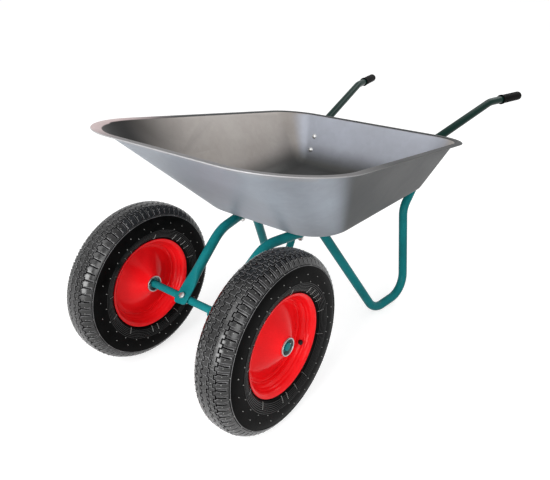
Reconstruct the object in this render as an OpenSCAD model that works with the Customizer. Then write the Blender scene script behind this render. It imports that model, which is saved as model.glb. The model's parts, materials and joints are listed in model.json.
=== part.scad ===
// Two wheel wheelbarrow: a pressed steel tray on two bent tubes, which run from the axle to the grips.
// Millimetres, +Z up, wheels towards -Y, handles towards +Y, left hand of the person who pushes it at +X.
// The origin lies on the ground, in the middle of the length and the width.

/* [Wheels] */
// Outside diameter of the tyre
tyre_d = 394; // [372:1:412]
// Width of the tyre's section
tyre_w = 94; // [86:1:100]
// How square the tyre's section is, 2 is an ellipse
tyre_square = 2.6; // [2.2:0.1:3]
// Thickness of the casing at the sidewall
casing_t = 6; // [4:0.5:8]
// Thickness of the rubber under the tread
tread_t = 11; // [9:0.5:14]
// Depth of the tread's grooves
groove_d = 4; // [2:0.5:5]
// Width of the tread's ring grooves
groove_w = 3; // [2:0.5:4]
// Tread pitches round the tyre
tread_pitches = 72; // [54:1:80]
// Width of the slits over the tread's shoulders
slit_w = 1.8; // [1:0.2:2.6]
// Depth of those slits at their ends
slit_d = 1.2; // [0.6:0.2:2]
// Distance between the middle planes of the wheels
track = 416; // [380:1:460]

/* [Rims] */
// Diameter over the rim's flanges
flange_d = 226; // [222:1:230]
// Distance between the flanges' outer faces
rim_w = 74; // [70:1:78]
// Diameter of the seat under the tyre's beads
bead_seat_d = 204; // [200:1:207]
// Diameter of the drop centre
well_d = 188; // [180:1:194]
// Width of the drop centre
well_w = 20; // [16:1:24]
// Thickness of the pressed rim and discs
rim_t = 2; // [1.5:0.5:2.5]
// Width of the bead's seat on the rim
bead_w = 12; // [10:1:14]

/* [Hubs] */
// Outside diameter of the hub sleeve
hub_d = 40; // [38:0.5:46]
// Length of the hub sleeve
hub_len = 90; // [84:1:100]
// Outside diameter of the bearings
bearing_d = 35; // [33:0.5:36]
// Width of a bearing
bearing_w = 11; // [9:0.5:14]
// How far the bearings sit inside the ends of the sleeve
bearing_recess = 11; // [10:0.5:14]
// Balls in each bearing
balls = 8; // [6:1:9]

/* [Axle] */
// Diameter of the axle bar
axle_d = 18; // [16:0.5:20]
// Thickness of the washers beside the bearings
axle_washer_t = 2; // [1.5:0.5:3]
// Wire diameter of the split pins
split_pin_d = 4; // [3:0.5:5]

/* [Frame tubes] */
// Outside diameter of the frame tubes
tube_d = 25; // [22:0.5:28]
// Wall of the frame tubes
tube_wall = 1.5; // [1.2:0.1:2.5]
// Distance of a tube from the middle at its floor bolt
floor_bolt_x = 96.5; // [90:0.5:100]
// Floor bolt behind the front edge of the tray's floor
floor_bolt_back = 49; // [45:1:60]
// Toe-out of the plane that each tube lies in
splay = 12.3; // [10:0.1:14]
// Inward lean of that plane
lean = 7.1; // [5:0.1:9]
// Slope of the front strut
strut_rise = 37; // [34:0.5:40]
// Start of the leg behind the front edge of the floor
leg_start = 107; // [104:1:116]
// Slope of the front of the leg
leg_rake = 57; // [54:0.5:60]
// Slope of the foot
foot_rise = 6; // [3:0.5:9]
// Backward lean of the leg's upright
upright_lean = 4; // [2:0.5:6]
// Top of the upright in front of the floor's rear edge
shoulder_inset = 36; // [30:1:38]
// Top of the upright below the floor
shoulder_drop = 52; // [50:1:60]
// Slope of the tube between upright and rear wall
shoulder_rise = 47; // [42:1:48]
// Start of the handle above the floor
handle_up = 115; // [110:1:120]
// Slope of the handle
handle_rise = 13.9; // [12:0.1:16]
// Length of the handle between its bends
handle_len = 380; // [330:5:430]
// Length of the tube behind the knee
grip_run = 188; // [165:1:210]
// Bend radius where strut meets floor run
strut_bend_r = 95; // [70:1:110]
// Bend radius at the top of the leg
leg_bend_r = 58; // [45:1:62]
// Bend radius at the front of the foot
foot_bend_r = 56; // [46:1:62]
// Bend radius at the back of the foot
heel_bend_r = 65; // [50:1:75]
// Bend radius above the upright
shoulder_bend_r = 60; // [45:1:65]
// Bend radius at the start of the handle
handle_bend_r = 40; // [34:1:44]
// Bend radius of the knee in front of the grip
knee_bend_r = 120; // [90:5:160]
// Width of the flattened front end
flat_w = 38; // [34:1:42]
// Thickness of the flattened front end
flat_t = 4; // [3.2:0.1:5]
// Flat length on either side of the axle bolt
flat_half = 19; // [17:1:22]
// Corner radius of the flattened end
flat_r = 9; // [6:0.5:12]
// Length over which round turns to flat
flat_taper = 60; // [48:1:72]

/* [Tray] */
// Height of the floor above the ground
floor_up = 332; // [320:1:345]
// Front edge of the floor behind the axle
floor_back = 204; // [192:1:216]
// Length of the floor
floor_len = 476; // [455:1:500]
// Width of the floor at its front
floor_w_front = 400; // [380:2:430]
// Width of the floor at its rear
floor_w_rear = 436; // [430:2:450]
// Corner radius of the floor at its front
floor_r_front = 100; // [85:1:120]
// Corner radius of the floor at its rear
floor_r_rear = 28; // [26:1:32]
// Bend radius between floor and walls
floor_bend = 24; // [18:1:25]
// Length that the front wall leans out ahead of the floor
front_wall_len = 279; // [255:1:300]
// Length that the rear wall leans out behind the floor
rear_wall_len = 69; // [62:1:76]
// Depth of the tray at the front
front_depth = 261; // [245:1:280]
// Depth of the tray at the rear
rear_depth = 152; // [146:1:160]
// Width between the side walls' tops at the front
rim_w_front = 679; // [650:1:700]
// Width between the side walls' tops at the rear
rim_w_rear = 609; // [590:1:635]
// Corner radius of the front wall's top
rim_r_front = 176; // [160:1:200]
// Corner radius of the rear wall's top
rim_r_rear = 89; // [78:1:100]
// Thickness of the sheet
sheet_t = 1.2; // [1:0.1:2]
// Width of the turned-out lip
lip_w = 20; // [17:0.5:23]
// Radius of the curl on the lip's edge
lip_curl_r = 4; // [3:0.5:5]
// Bend radius between wall and lip
lip_bend = 6; // [4:0.5:8]

/* [Grips] */
// Outside diameter of the grips
grip_d = 30; // [29:0.5:36]
// Length of tube inside a grip
grip_len = 118; // [100:1:135]
// Thickness of a grip's closed end
grip_end_t = 5; // [3:0.5:8]
// Width of the collar at the start of a grip
grip_collar_w = 8; // [5:0.5:12]
// Height of the collar over the grip
grip_collar_h = 1.5; // [1:0.5:3]

/* [Fasteners] */
// Thread diameter of the bolts
bolt_d = 8; // [6:0.5:9]
// Head diameter of the dome bolts
dome_d = 17; // [15:0.5:18]
// Head height of the dome bolts
dome_h = 4.5; // [3.5:0.5:6]
// Size across the flats of nuts and hexagon heads
hex_af = 13; // [12:0.5:15]
// Height of a nut
nut_h = 6.5; // [5:0.5:8]
// Height of a hexagon head
head_h = 5.3; // [4:0.1:7]
// Lower rear bolt above the floor
wall_bolt_up = 44; // [41:1:46]
// Distance between the two rear bolts of a side, measured upwards
wall_bolt_gap = 42; // [36:1:44]

/* [Valves] */
// Diameter of a valve's stem
valve_d = 8; // [6:0.5:10]
// Length of a valve's stem that shows in the rim
valve_len = 7; // [5:1:12]
// Turn of the valve round the wheel, from straight back
valve_turn = -30; // [-60:5:60]

/* [Hidden] */
$fn = 64;

// Clearances: a seated face, a running fit, a hole round a bolt, and how far a cut runs past its face
seat_gap = 0.2;
fit_gap = 0.05;
hole_gap = 0.25;
overrun = 1;
left = 1;
right = -1;

// Small sizes of the fasteners and the hub
washer_over = 7;
pin_leg_out = 2;
pin_tail = 4;
pin_spread = 40;
pin_wire_share = 0.3;
bolt_tip = 3;
ring_t = 3;
ball_gap = 0.15;
valve_hole_gap = 1.5;
grommet_half = 3;
valve_tilt = 35;
valve_base = 4;
cap_len = 5;
cap_over = 1;
tube_skin = 2.5;
bead_clinch = 1;
bead_rise = 5;
hub_collar = 3;
slit_stagger_share = 0.5;
disc_lip = 6;
disc_set = 2;
disc_dip = 8;
plug_len = 3;
plug_gap = 0.2;
bend_lap = 1;
bend_thin = 0.15;

// Derived radii
tyre_r = tyre_d / 2;
axle_r = axle_d / 2;
tube_r = tube_d / 2;
hub_r = hub_d / 2;
bearing_r = bearing_d / 2;
bolt_r = bolt_d / 2;
hole_r = bolt_r + hole_gap;
wheel_x = track / 2;

// Side view of the tray, y from the axle and z from the ground
floor_front_y = floor_back;
floor_rear_y = floor_back + floor_len;
rim_front_y = floor_front_y - front_wall_len;
rim_rear_y = floor_rear_y + rear_wall_len;
rim_front_z = floor_up + front_depth;
rim_rear_z = floor_up + rear_depth;
wall_rise = atan2(rear_depth, rear_wall_len);
rim_fall = (rim_front_z - rim_rear_z) / (rim_rear_y - rim_front_y);

// Seats of the tubes under the floor and behind the rear wall
seat_off = sheet_t / 2 + seat_gap + tube_r;
run_y = floor_front_y + floor_bolt_back;
run_z = floor_up - seat_off;
axle_off = axle_r + seat_gap + flat_t / 2;

// The leaning plane of a tube: side view (y, z) to the plane's own (u, v), and back
function plane_v(z) = (z - run_z) / cos(lean);
function plane_u(y, v) = (y - run_y - v * sin(lean) * sin(splay)) / cos(splay);
function to_plane(p) = [plane_u(p[0], plane_v(p[1])), plane_v(p[1])];
function plane_angle(side) = let (v = sin(side) / cos(lean), u = (cos(side) - v * sin(lean) * sin(splay)) / cos(splay)) atan2(v, u);
function side_y(p) = run_y + p[0] * cos(splay) + p[1] * sin(lean) * sin(splay);
function tube_x(p) = floor_bolt_x + p[0] * sin(splay) - p[1] * sin(lean) * cos(splay);

// Lines in a plane
function heading(a) = [cos(a), sin(a)];
function cross2(a, b) = a[0] * b[1] - a[1] * b[0];
function meet(p, a, q, b) = p + heading(a) * cross2(q - p, heading(b)) / cross2(heading(a), heading(b));
function bearing_of(p, q) = atan2(q[1] - p[1], q[0] - p[0]);
function unit(v) = v / norm(v);

// Corners of the tube's centre line in its plane
wall_normal = [sin(wall_rise), -cos(wall_rise)];
wall_foot = to_plane([floor_rear_y, floor_up] + wall_normal * seat_off);
strut_foot = to_plane([0, tyre_r] + [-sin(strut_rise), cos(strut_rise)] * axle_off);
strut_angle = plane_angle(strut_rise);
leg_angle = -plane_angle(leg_rake);
foot_angle = plane_angle(foot_rise);
upright_angle = plane_angle(90 - upright_lean);
shoulder_angle = plane_angle(shoulder_rise);
wall_angle = plane_angle(wall_rise);
handle_angle = plane_angle(handle_rise);
strut_corner = meet(strut_foot, strut_angle, [0, 0], 0);
leg_corner = [to_plane([floor_front_y + leg_start, run_z])[0], 0];
foot_low = plane_v(tube_r);
foot_slide = (foot_bend_r * (cos(leg_angle) - 1) - foot_low) / -sin(leg_angle);
foot_centre = leg_corner + heading(leg_angle) * foot_slide + foot_bend_r * heading(leg_angle + 90);
foot_corner = meet(leg_corner, leg_angle, foot_centre + foot_bend_r * heading(foot_angle - 90), foot_angle);
shoulder_corner = to_plane([floor_rear_y - shoulder_inset, floor_up - shoulder_drop]);
heel_corner = meet(foot_corner, foot_angle, shoulder_corner, upright_angle);
wall_corner = meet(shoulder_corner, shoulder_angle, wall_foot, wall_angle);
handle_corner = to_plane([floor_rear_y + handle_up / tan(wall_rise), floor_up + handle_up] + wall_normal * seat_off);
knee_corner = handle_corner + handle_len * heading(handle_angle);
tube_end = knee_corner + [grip_run, 0];
round_start = strut_foot + heading(strut_angle) * (flat_half + flat_taper);
tube_path = [round_start, strut_corner, leg_corner, foot_corner, heel_corner, shoulder_corner, wall_corner,
    handle_corner, knee_corner, tube_end];
bend_radii = [0, strut_bend_r, leg_bend_r, foot_bend_r, heel_bend_r, shoulder_bend_r, shoulder_bend_r,
    handle_bend_r, knee_bend_r, 0];

// The frame's middle: half way between the front of the tyres and the ends of the grips
grip_tip_y = side_y(tube_end) + grip_end_t * cos(splay) + grip_d / 2 * sin(splay) / 2;
axle_y = -(grip_tip_y - tyre_r) / 2;

// Bolt places
wall_bolts_up = [wall_bolt_up, wall_bolt_up + wall_bolt_gap];
function wall_point(up) = [floor_rear_y + up / tan(wall_rise), floor_up + up];
function wall_bolt_x(up) = tube_x(to_plane(wall_point(up) + wall_normal * seat_off));
strut_x = tube_x(strut_foot);
strut_toe = atan2(tube_x(strut_foot + heading(strut_angle)) - strut_x,
    norm([side_y(strut_foot + heading(strut_angle)) - side_y(strut_foot), sin(strut_angle) * cos(lean)]));

// Hub: washers lie against the bearings, pins behind the washers
bearing_out = hub_len / 2 - bearing_recess;
washer_out = bearing_out + fit_gap;
pin_out = washer_out + axle_washer_t + split_pin_d / 2 + seat_gap;
axle_len = track + hub_len - split_pin_d / 2;
ball_ring_r = (axle_r + bearing_r) / 2;
ball_r = (bearing_r - axle_r) / 2 - ring_t + overrun;
hub_bore_r = bearing_r + fit_gap;

module on_frame() {
    translate([0, axle_y, 0]) children();
}

module on_axle() {
    translate([0, axle_y, tyre_r]) children();
}

// A wheel's frame: its own axis along local Z, outwards on its side
module on_wheel(side) {
    on_axle() translate([side * wheel_x, 0, 0]) rotate([0, side * 90, 0]) children();
}

module on_side(side) {
    mirror([side < 0 ? 1 : 0, 0, 0]) children();
}

module in_tube_plane() {
    translate([floor_bolt_x, run_y, run_z])
        rotate([0, 0, -splay])
            rotate([0, -lean, 0])
                rotate([90, 0, 90]) children();
}

// At the axle bolt: local Y along the strut, local Z out of its flat end, origin on the axle's centre line
module at_strut_foot() {
    translate([strut_x, 0, tyre_r])
        rotate([strut_rise, 0, 0]) children();
}

module at_floor_bolt() {
    translate([floor_bolt_x, run_y, floor_up]) children();
}

module at_wall_bolt(up) {
    translate([wall_bolt_x(up), wall_point(up)[0], wall_point(up)[1]])
        rotate([wall_rise, 0, 0]) children();
}

// Tube along corners in a plane: straight runs and round bends of one radius r
function path_dir(path, i) = bearing_of(path[i], path[i + 1]);
function path_turn(path, i) = i == 0 || i == len(path) - 1 ? 0 : path_dir(path, i) - path_dir(path, i - 1);
function path_trim(path, radii, i) = radii[i] * tan(abs(path_turn(path, i)) / 2);

module bent_rod(path, radii, r, tail = 0) {
    last = len(path) - 2;
    for (i = [0:last]) {
        start = path_trim(path, radii, i) - (i == 0 ? 0 : bend_lap);
        stop = norm(path[i + 1] - path[i]) - path_trim(path, radii, i + 1) + (i == last ? tail : bend_lap);
        translate(path[i])
            rotate([0, 0, path_dir(path, i)])
                translate([start, 0, 0])
                    rotate([0, 90, 0]) cylinder(h = stop - start, r = r);
    }
    for (i = [1:last]) {
        turn = path_turn(path, i);
        to_left = turn > 0 ? 1 : -1;
        first = to_left > 0 ? path_dir(path, i - 1) - 90 : path_dir(path, i) + 90;
        centre = path[i] - heading(path_dir(path, i - 1)) * path_trim(path, radii, i)
            + to_left * radii[i] * heading(path_dir(path, i - 1) + 90);
        translate(centre)
            rotate([0, 0, first])
                rotate_extrude(angle = abs(turn)) translate([radii[i], 0]) circle(r - bend_thin);
    }
}

// Flattened front end of a tube, lying on the axle
module flat_end() {
    at_strut_foot() rotate([0, 0, -strut_toe]) {
        translate([0, 0, axle_r + seat_gap]) linear_extrude(flat_t) {
            translate([-flat_w / 2, flat_r - flat_half]) square([flat_w, 2 * flat_half - flat_r]);
            translate([flat_r - flat_w / 2, -flat_half]) square([flat_w - 2 * flat_r, flat_half]);
            for (end = [-1, 1])
                translate([end * (flat_w / 2 - flat_r), flat_r - flat_half]) circle(r = flat_r);
        }
        hull() {
            translate([-flat_w / 2 + plug_gap, flat_half - overrun, axle_r + seat_gap + plug_gap])
                cube([flat_w - 2 * plug_gap, plug_gap, flat_t - 2 * plug_gap]);
            translate([0, flat_half + flat_taper, axle_off])
                rotate([-90, 0, 0]) cylinder(h = plug_len, r = tube_r - plug_gap, $fn = 32);
        }
    }
}

module frame_tube(side) {
    color("teal") on_frame() on_side(side) difference() {
        union() {
            difference() {
                in_tube_plane() bent_rod(tube_path, bend_radii, tube_r);
                in_tube_plane() bent_rod(tube_path, bend_radii, tube_r - tube_wall, overrun);
            }
            flat_end();
        }
        at_strut_foot() cylinder(h = axle_off * 2, r = hole_r);
        at_floor_bolt() translate([0, 0, -seat_off * 2]) cylinder(h = seat_off * 2, r = hole_r);
        for (up = wall_bolts_up)
            at_wall_bolt(up) translate([0, 0, -seat_off * 2]) cylinder(h = seat_off * 2, r = hole_r);
    }
}

grip_bore_r = tube_r + fit_gap;
grip_r = grip_d / 2;
grip_dome_steps = 8;
grip_dome_share = 0.6;

// Outline of a grip, radius and place along the tube, from the tube's end
function grip_outline() = let (dome = grip_r * grip_dome_share, collar_r = grip_r + grip_collar_h) concat(
    [[grip_bore_r, -grip_len], [collar_r, -grip_len], [collar_r, grip_collar_w - grip_len],
        [grip_r, grip_collar_w + grip_collar_h - grip_len]],
    [for (i = [0:grip_dome_steps]) let (a = 90 * i / grip_dome_steps)
        [grip_r - dome + dome * cos(a), grip_end_t - dome + dome * sin(a)]],
    [[0, grip_end_t], [0, fit_gap], [grip_bore_r, fit_gap]]);

module grip(side) {
    color("#1a1a1a") on_frame() on_side(side) in_tube_plane()
        translate(tube_end) rotate([0, 90, 0]) rotate_extrude() polygon(grip_outline());
}

// Outline of the pan at one level: a trapezium with round corners, from its left rear corner round the rear
front_steps = 14;
rear_steps = 8;

function corner_arc(before, p, after, r, steps) =
    let (a = unit(before - p), b = unit(after - p), half = acos(a * b) / 2,
        c = p + unit(a + b) * r / sin(half), first = bearing_of(c, p + a * r / tan(half)), sweep = 180 - 2 * half)
    [for (i = [0:steps]) c + r * heading(first + sweep * i / steps)];

function pan_outline(front_y, rear_y, front_w, rear_w, front_r, rear_r) =
    let (fr = [-front_w / 2, front_y], fl = [front_w / 2, front_y], rl = [rear_w / 2, rear_y], rr = [-rear_w / 2, rear_y])
    concat(corner_arc(rl, rr, fr, rear_r, rear_steps), corner_arc(rr, fr, fl, front_r, front_steps),
        corner_arc(fr, fl, rl, front_r, front_steps), corner_arc(fl, rl, rr, rear_r, rear_steps));

function floor_outline(inset) = pan_outline(floor_front_y + inset, floor_rear_y - inset, floor_w_front - 2 * inset,
    floor_w_rear - 2 * inset, floor_r_front - inset, floor_r_rear - inset);

function rim_outline(out) = pan_outline(rim_front_y - out, rim_rear_y + out, rim_w_front + 2 * out,
    rim_w_rear + 2 * out, rim_r_front + out, rim_r_rear + out);

function on_rim(p, up) = [p[0], p[1], rim_front_z - rim_fall * (p[1] - rim_front_y) + up];
function blend(a, b, c, t) = a * (1 - t) * (1 - t) + b * 2 * t * (1 - t) + c * t * t;

// Rings of points on the middle of the sheet, from the floor up the walls and round the lip
bend_steps = 5;
wall_steps = 4;
curl_steps = 6;
curl_turn = 200;

function pan_rings() =
    let (inner = floor_outline(floor_bend), edge = floor_outline(0), rim = rim_outline(0), lip = rim_outline(lip_bend),
        n = len(edge),
        low = [for (p = edge) [p[0], p[1], floor_up]],
        high = [for (p = rim) on_rim(p, 0)],
        wall = [for (i = [0:n - 1]) unit(high[i] - low[i])],
        foot = [for (i = [0:n - 1]) low[i] + wall[i] * floor_bend],
        neck = [for (i = [0:n - 1]) high[i] - wall[i] * lip_bend])
    concat(
        [for (s = [0:bend_steps]) [for (i = [0:n - 1])
            blend([inner[i][0], inner[i][1], floor_up], low[i], foot[i], s / bend_steps)]],
        [for (s = [1:wall_steps]) [for (i = [0:n - 1]) foot[i] + (neck[i] - foot[i]) * s / wall_steps]],
        [for (s = [1:bend_steps]) [for (i = [0:n - 1]) blend(neck[i], high[i], on_rim(lip[i], 0), s / bend_steps)]],
        [for (s = [0:curl_steps]) let (a = curl_turn * s / curl_steps,
            ring = rim_outline(lip_w - lip_curl_r + lip_curl_r * sin(a)))
            [for (p = ring) on_rim(p, lip_curl_r * (cos(a) - 1))]]);

// Outward normal of the middle surface at ring j and point i
function ring_normal(rings, j, i) =
    let (n = len(rings[0]), lower = rings[max(j - 1, 0)][i], upper = rings[min(j + 1, len(rings) - 1)][i],
        next = rings[j][(i + 1) % n], last = rings[j][(i + n - 1) % n])
    j == 0 ? [0, 0, -1] : unit(cross(next - last, upper - lower));

function skin(rings, off) = [for (j = [0:len(rings) - 1]) for (i = [0:len(rings[0]) - 1])
    rings[j][i] + ring_normal(rings, j, i) * off];

function band_faces(n, rows, base) = [for (j = [0:rows - 2]) for (i = [0:n - 1]) let (k = (i + 1) % n)
    [base + j * n + i, base + j * n + k, base + (j + 1) * n + k, base + (j + 1) * n + i]];
function halves(quads) = [for (q = quads) each [[q[0], q[1], q[2]], [q[0], q[2], q[3]]]];
function flipped(faces) = [for (f = faces) [for (i = [len(f) - 1:-1:0]) f[i]]];

module pan() {
    rings = pan_rings();
    n = len(rings[0]);
    rows = len(rings);
    inside = n * rows;
    outer_faces = halves(band_faces(n, rows, 0));
    inner_faces = flipped(halves(band_faces(n, rows, inside)));
    edge_faces = halves([for (i = [0:n - 1]) let (k = (i + 1) % n)
        [inside - n + i, inside - n + k, 2 * inside - n + k, 2 * inside - n + i]]);
    under = [[for (i = [n - 1:-1:0]) i]];
    over = [[for (i = [0:n - 1]) inside + i]];
    polyhedron(points = concat(skin(rings, sheet_t / 2), skin(rings, -sheet_t / 2)),
        faces = flipped(concat(outer_faces, inner_faces, edge_faces, under, over)));
}

module tray() {
    color("lightslategray") on_frame() difference() {
        pan();
        for (side = [left, right]) on_side(side) {
            at_floor_bolt() translate([0, 0, -overrun * 2]) cylinder(h = overrun * 4, r = hole_r);
            for (up = wall_bolts_up)
                at_wall_bolt(up) translate([0, 0, -overrun * 2]) cylinder(h = overrun * 4, r = hole_r);
        }
    }
}

// Fasteners: the seat of the head is at the origin, the shank runs down
module dome_bolt(grip) {
    cap_r = (dome_d * dome_d / 4 + dome_h * dome_h) / (2 * dome_h);
    intersection() {
        translate([0, 0, dome_h - cap_r]) sphere(cap_r);
        cylinder(h = dome_h, d = dome_d + overrun);
    }
    translate([0, 0, -grip - nut_h - bolt_tip]) cylinder(h = grip + nut_h + bolt_tip + overrun, r = bolt_r);
}

module hex_bolt(grip) {
    cylinder(h = head_h, d = hex_af / cos(30), $fn = 6);
    translate([0, 0, -grip - nut_h - bolt_tip]) cylinder(h = grip + nut_h + bolt_tip + overrun, r = bolt_r);
}

module nut(grip) {
    translate([0, 0, -grip - nut_h]) difference() {
        cylinder(h = nut_h, d = hex_af / cos(30), $fn = 6);
        translate([0, 0, -overrun]) cylinder(h = nut_h + 2 * overrun, r = bolt_r + fit_gap);
    }
}

tray_grip = sheet_t + tube_d + 2 * seat_gap + fit_gap;
axle_grip = flat_t + axle_d + 2 * seat_gap + fit_gap;

module both_sides() {
    for (side = [left, right]) on_side(side) children();
}

module on_floor_seat() {
    at_floor_bolt() translate([0, 0, sheet_t / 2 + fit_gap]) children();
}

module on_wall_seats() {
    for (up = wall_bolts_up) at_wall_bolt(up) translate([0, 0, sheet_t / 2 + seat_gap]) children();
}

module on_strut_seat() {
    at_strut_foot() translate([0, 0, axle_r + seat_gap + flat_t + fit_gap]) children();
}

module floor_bolts() {
    color("silver") on_frame() both_sides() on_floor_seat() dome_bolt(tray_grip);
}

module floor_nuts() {
    color("silver") on_frame() both_sides() on_floor_seat() nut(tray_grip);
}

module wall_bolts() {
    color("silver") on_frame() both_sides() on_wall_seats() dome_bolt(tray_grip);
}

module wall_nuts() {
    color("silver") on_frame() both_sides() on_wall_seats() nut(tray_grip);
}

module axle_bolts() {
    color("silver") on_frame() both_sides() on_strut_seat() hex_bolt(axle_grip);
}

module axle_nuts() {
    color("silver") on_frame() both_sides() on_strut_seat() nut(axle_grip);
}

// Places along a wheel's axis where the washers and pins sit
hub_ends = [-1, 1];

module axle() {
    color("teal") difference() {
        on_axle() rotate([0, 90, 0]) cylinder(h = axle_len, r = axle_r, center = true);
        on_frame() both_sides() at_strut_foot()
            cylinder(h = axle_d + 2 * overrun, r = hole_r, center = true);
        for (side = [left, right], end = hub_ends)
            on_wheel(side) translate([0, 0, end * pin_out])
                rotate([90, 0, 0]) cylinder(h = axle_d + 2 * overrun, d = split_pin_d + hole_gap, center = true);
    }
}

module axle_washers() {
    color("silver") for (side = [left, right], end = hub_ends)
        on_wheel(side) translate([0, 0, end * (washer_out + axle_washer_t / 2)]) difference() {
            cylinder(h = axle_washer_t, r = axle_r + washer_over, center = true);
            cylinder(h = axle_washer_t + 2 * overrun, r = axle_r + fit_gap, center = true);
        }
}

// Split pin: the shank, its eye on one side and its two spread tails on the other
pin_leg = axle_r + pin_leg_out;
pin_eye_r = (hub_bore_r - 2 * seat_gap - pin_leg) / 2;
pin_wire_r = pin_eye_r * pin_wire_share;

module split_pin() {
    translate([0, 0, -pin_leg]) cylinder(h = 2 * pin_leg, d = split_pin_d);
    translate([0, 0, pin_leg + pin_eye_r - pin_wire_r])
        rotate([90, 0, 0]) rotate_extrude() translate([pin_eye_r - pin_wire_r, 0]) circle(pin_wire_r);
    for (way = [-1, 1])
        translate([0, 0, -pin_leg + pin_wire_r]) rotate([180, way * pin_spread, 0]) cylinder(h = pin_tail, d = split_pin_d / 2);
}

module split_pins() {
    color("silver") for (side = [left, right], end = hub_ends)
        on_wheel(side) translate([0, 0, end * pin_out]) rotate([90, 0, 0]) split_pin();
}

// Bearings: plain rings with a ball groove
module ring(r_in, r_out) {
    rotate_extrude() difference() {
        translate([r_in, -bearing_w / 2]) square([r_out - r_in, bearing_w]);
        translate([ball_ring_r, 0]) circle(ball_r + ball_gap);
    }
}

module in_bearings(side) {
    on_wheel(side) for (end = hub_ends) translate([0, 0, end * (bearing_out - bearing_w / 2)]) children();
}

module bearing_inner_rings() {
    color("silver") for (side = [left, right]) in_bearings(side) ring(axle_r + fit_gap, axle_r + ring_t);
}

module bearing_outer_rings(side) {
    color("silver") in_bearings(side) ring(bearing_r - ring_t, bearing_r);
}

module bearing_balls(side) {
    color("gainsboro") in_bearings(side)
        for (i = [0:balls - 1]) rotate([0, 0, 360 * i / balls]) translate([ball_ring_r, 0, 0]) sphere(ball_r);
}

module hub(side) {
    color("silver") on_wheel(side) difference() {
        cylinder(h = hub_len, r = hub_r, center = true);
        cylinder(h = hub_len + 2 * overrun, r = hub_bore_r, center = true);
    }
}

// A strip of sheet round a line of points: the points pushed to both sides by half the thickness
function line_normal(line, i) = let (a = line[max(i - 1, 0)], b = line[min(i + 1, len(line) - 1)],
    before = i == 0 ? unit(line[1] - line[0]) : unit(line[i] - a),
    after = i == len(line) - 1 ? before : unit(b - line[i]), mid = unit(before + after))
    [-mid[1], mid[0]] / (mid * after);
function strip(line, t) = concat([for (i = [0:len(line) - 1]) line[i] + line_normal(line, i) * t / 2],
    [for (i = [len(line) - 1:-1:0]) line[i] - line_normal(line, i) * t / 2]);

// Rim: flange, bead seat and drop centre, radius and place along the axis
flange_r = flange_d / 2;
flange_x = (rim_w - rim_t) / 2;
seat_r = (bead_seat_d - rim_t) / 2;
well_r = (well_d - rim_t) / 2;
flange_lean = 2;
flange_root = 4;
seat_fall = 1;
rim_half_line = [[flange_r, flange_x], [seat_r + flange_root, flange_x - flange_lean / 2],
    [seat_r + flange_root / 4, flange_x - flange_lean], [seat_r, flange_x - flange_lean - flange_root / 2],
    [seat_r - seat_fall, flange_x - flange_root - bead_w], [well_r, well_w / 2]];
rim_line = concat(rim_half_line, [for (i = [len(rim_half_line) - 1:-1:0]) [rim_half_line[i][0], -rim_half_line[i][1]]]);

// The valve's hole lies on the slope between bead seat and drop centre
valve_x = (well_w / 2 + flange_x - flange_root - bead_w) / 2;
valve_at_r = (well_r + seat_r - seat_fall) / 2;

module at_valve(side) {
    on_wheel(side) rotate([0, 0, 90 + side * valve_turn])
        translate([valve_at_r, 0, valve_x]) rotate([0, -90 + valve_tilt, 0]) children();
}

module rim(side) {
    color("crimson") difference() {
        on_wheel(side) rotate_extrude() polygon(strip(rim_line, rim_t));
        at_valve(side) cylinder(h = well_d / 4, d = valve_d + 2 * valve_hole_gap, center = true);
    }
}

// Disc: a lip in the drop centre, a dip, a cone that rises to the hub and a collar on it
disc_out_r = well_r - rim_t - seat_gap;
disc_line = [[disc_out_r, disc_set + disc_lip], [disc_out_r, disc_set + rim_t],
    [disc_out_r - rim_t, disc_set], [disc_out_r - disc_dip, disc_set + rim_t / 4],
    [hub_r + fit_gap + rim_t * 2, hub_len / 2 - hub_collar - rim_t * 2],
    [hub_r + fit_gap + rim_t / 2, hub_len / 2 - hub_collar - rim_t],
    [hub_r + fit_gap + rim_t / 2, hub_len / 2 - hub_collar]];

module disc(side, face) {
    color("crimson") on_wheel(side) mirror([0, 0, face < 0 ? 1 : 0])
        rotate_extrude() polygon(strip(disc_line, rim_t));
}

// Tyre: a squared ellipse outside, a thinner one inside, and beads between the flanges
tyre_steps = 24;
bead_x = flange_x - flange_lean - rim_t / 2 - fit_gap;
bead_r = seat_r + rim_t / 2 + flange_root / 4 + fit_gap;
heel_r = flange_r + bead_clinch + rim_t;
tyre_mid_r = (tyre_r + bead_r) / 2;
tyre_high = (tyre_r - bead_r) / 2;
cavity_end_share = 0.97;

function squared(t, high, wide) = [high * sign(cos(t)) * pow(abs(cos(t)), 2 / tyre_square),
    wide * sign(sin(t)) * pow(abs(sin(t)), 2 / tyre_square)];
function squared_end(r, high) = acos(-pow((tyre_mid_r - r) / high, tyre_square / 2));
function tyre_arc(end, high, wide) = [for (i = [-tyre_steps:tyre_steps])
    [tyre_mid_r, 0] + squared(end * i / tyre_steps, high, wide)];

cavity_high = tyre_high - tread_t;
cavity_wide = tyre_w / 2 - casing_t;
cavity_r = bead_r + bead_rise;
tyre_outside = tyre_arc(squared_end(heel_r, tyre_high), tyre_high, tyre_w / 2);
cavity_low_r = max(cavity_r, tyre_mid_r - cavity_high * cavity_end_share);
tyre_cavity = tyre_arc(squared_end(cavity_low_r, cavity_high), cavity_high, cavity_wide);
tyre_bead = [[flange_r + bead_clinch, bead_x], [bead_r, bead_x], [bead_r, bead_x - bead_w],
    [cavity_r, bead_x - bead_w]];
function other_side(line) = [for (i = [len(line) - 1:-1:0]) [line[i][0], -line[i][1]]];
function reversed(line) = [for (i = [len(line) - 1:-1:0]) line[i]];
tyre_outline = concat(tyre_outside, tyre_bead, reversed(tyre_cavity), other_side(tyre_bead));

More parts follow.
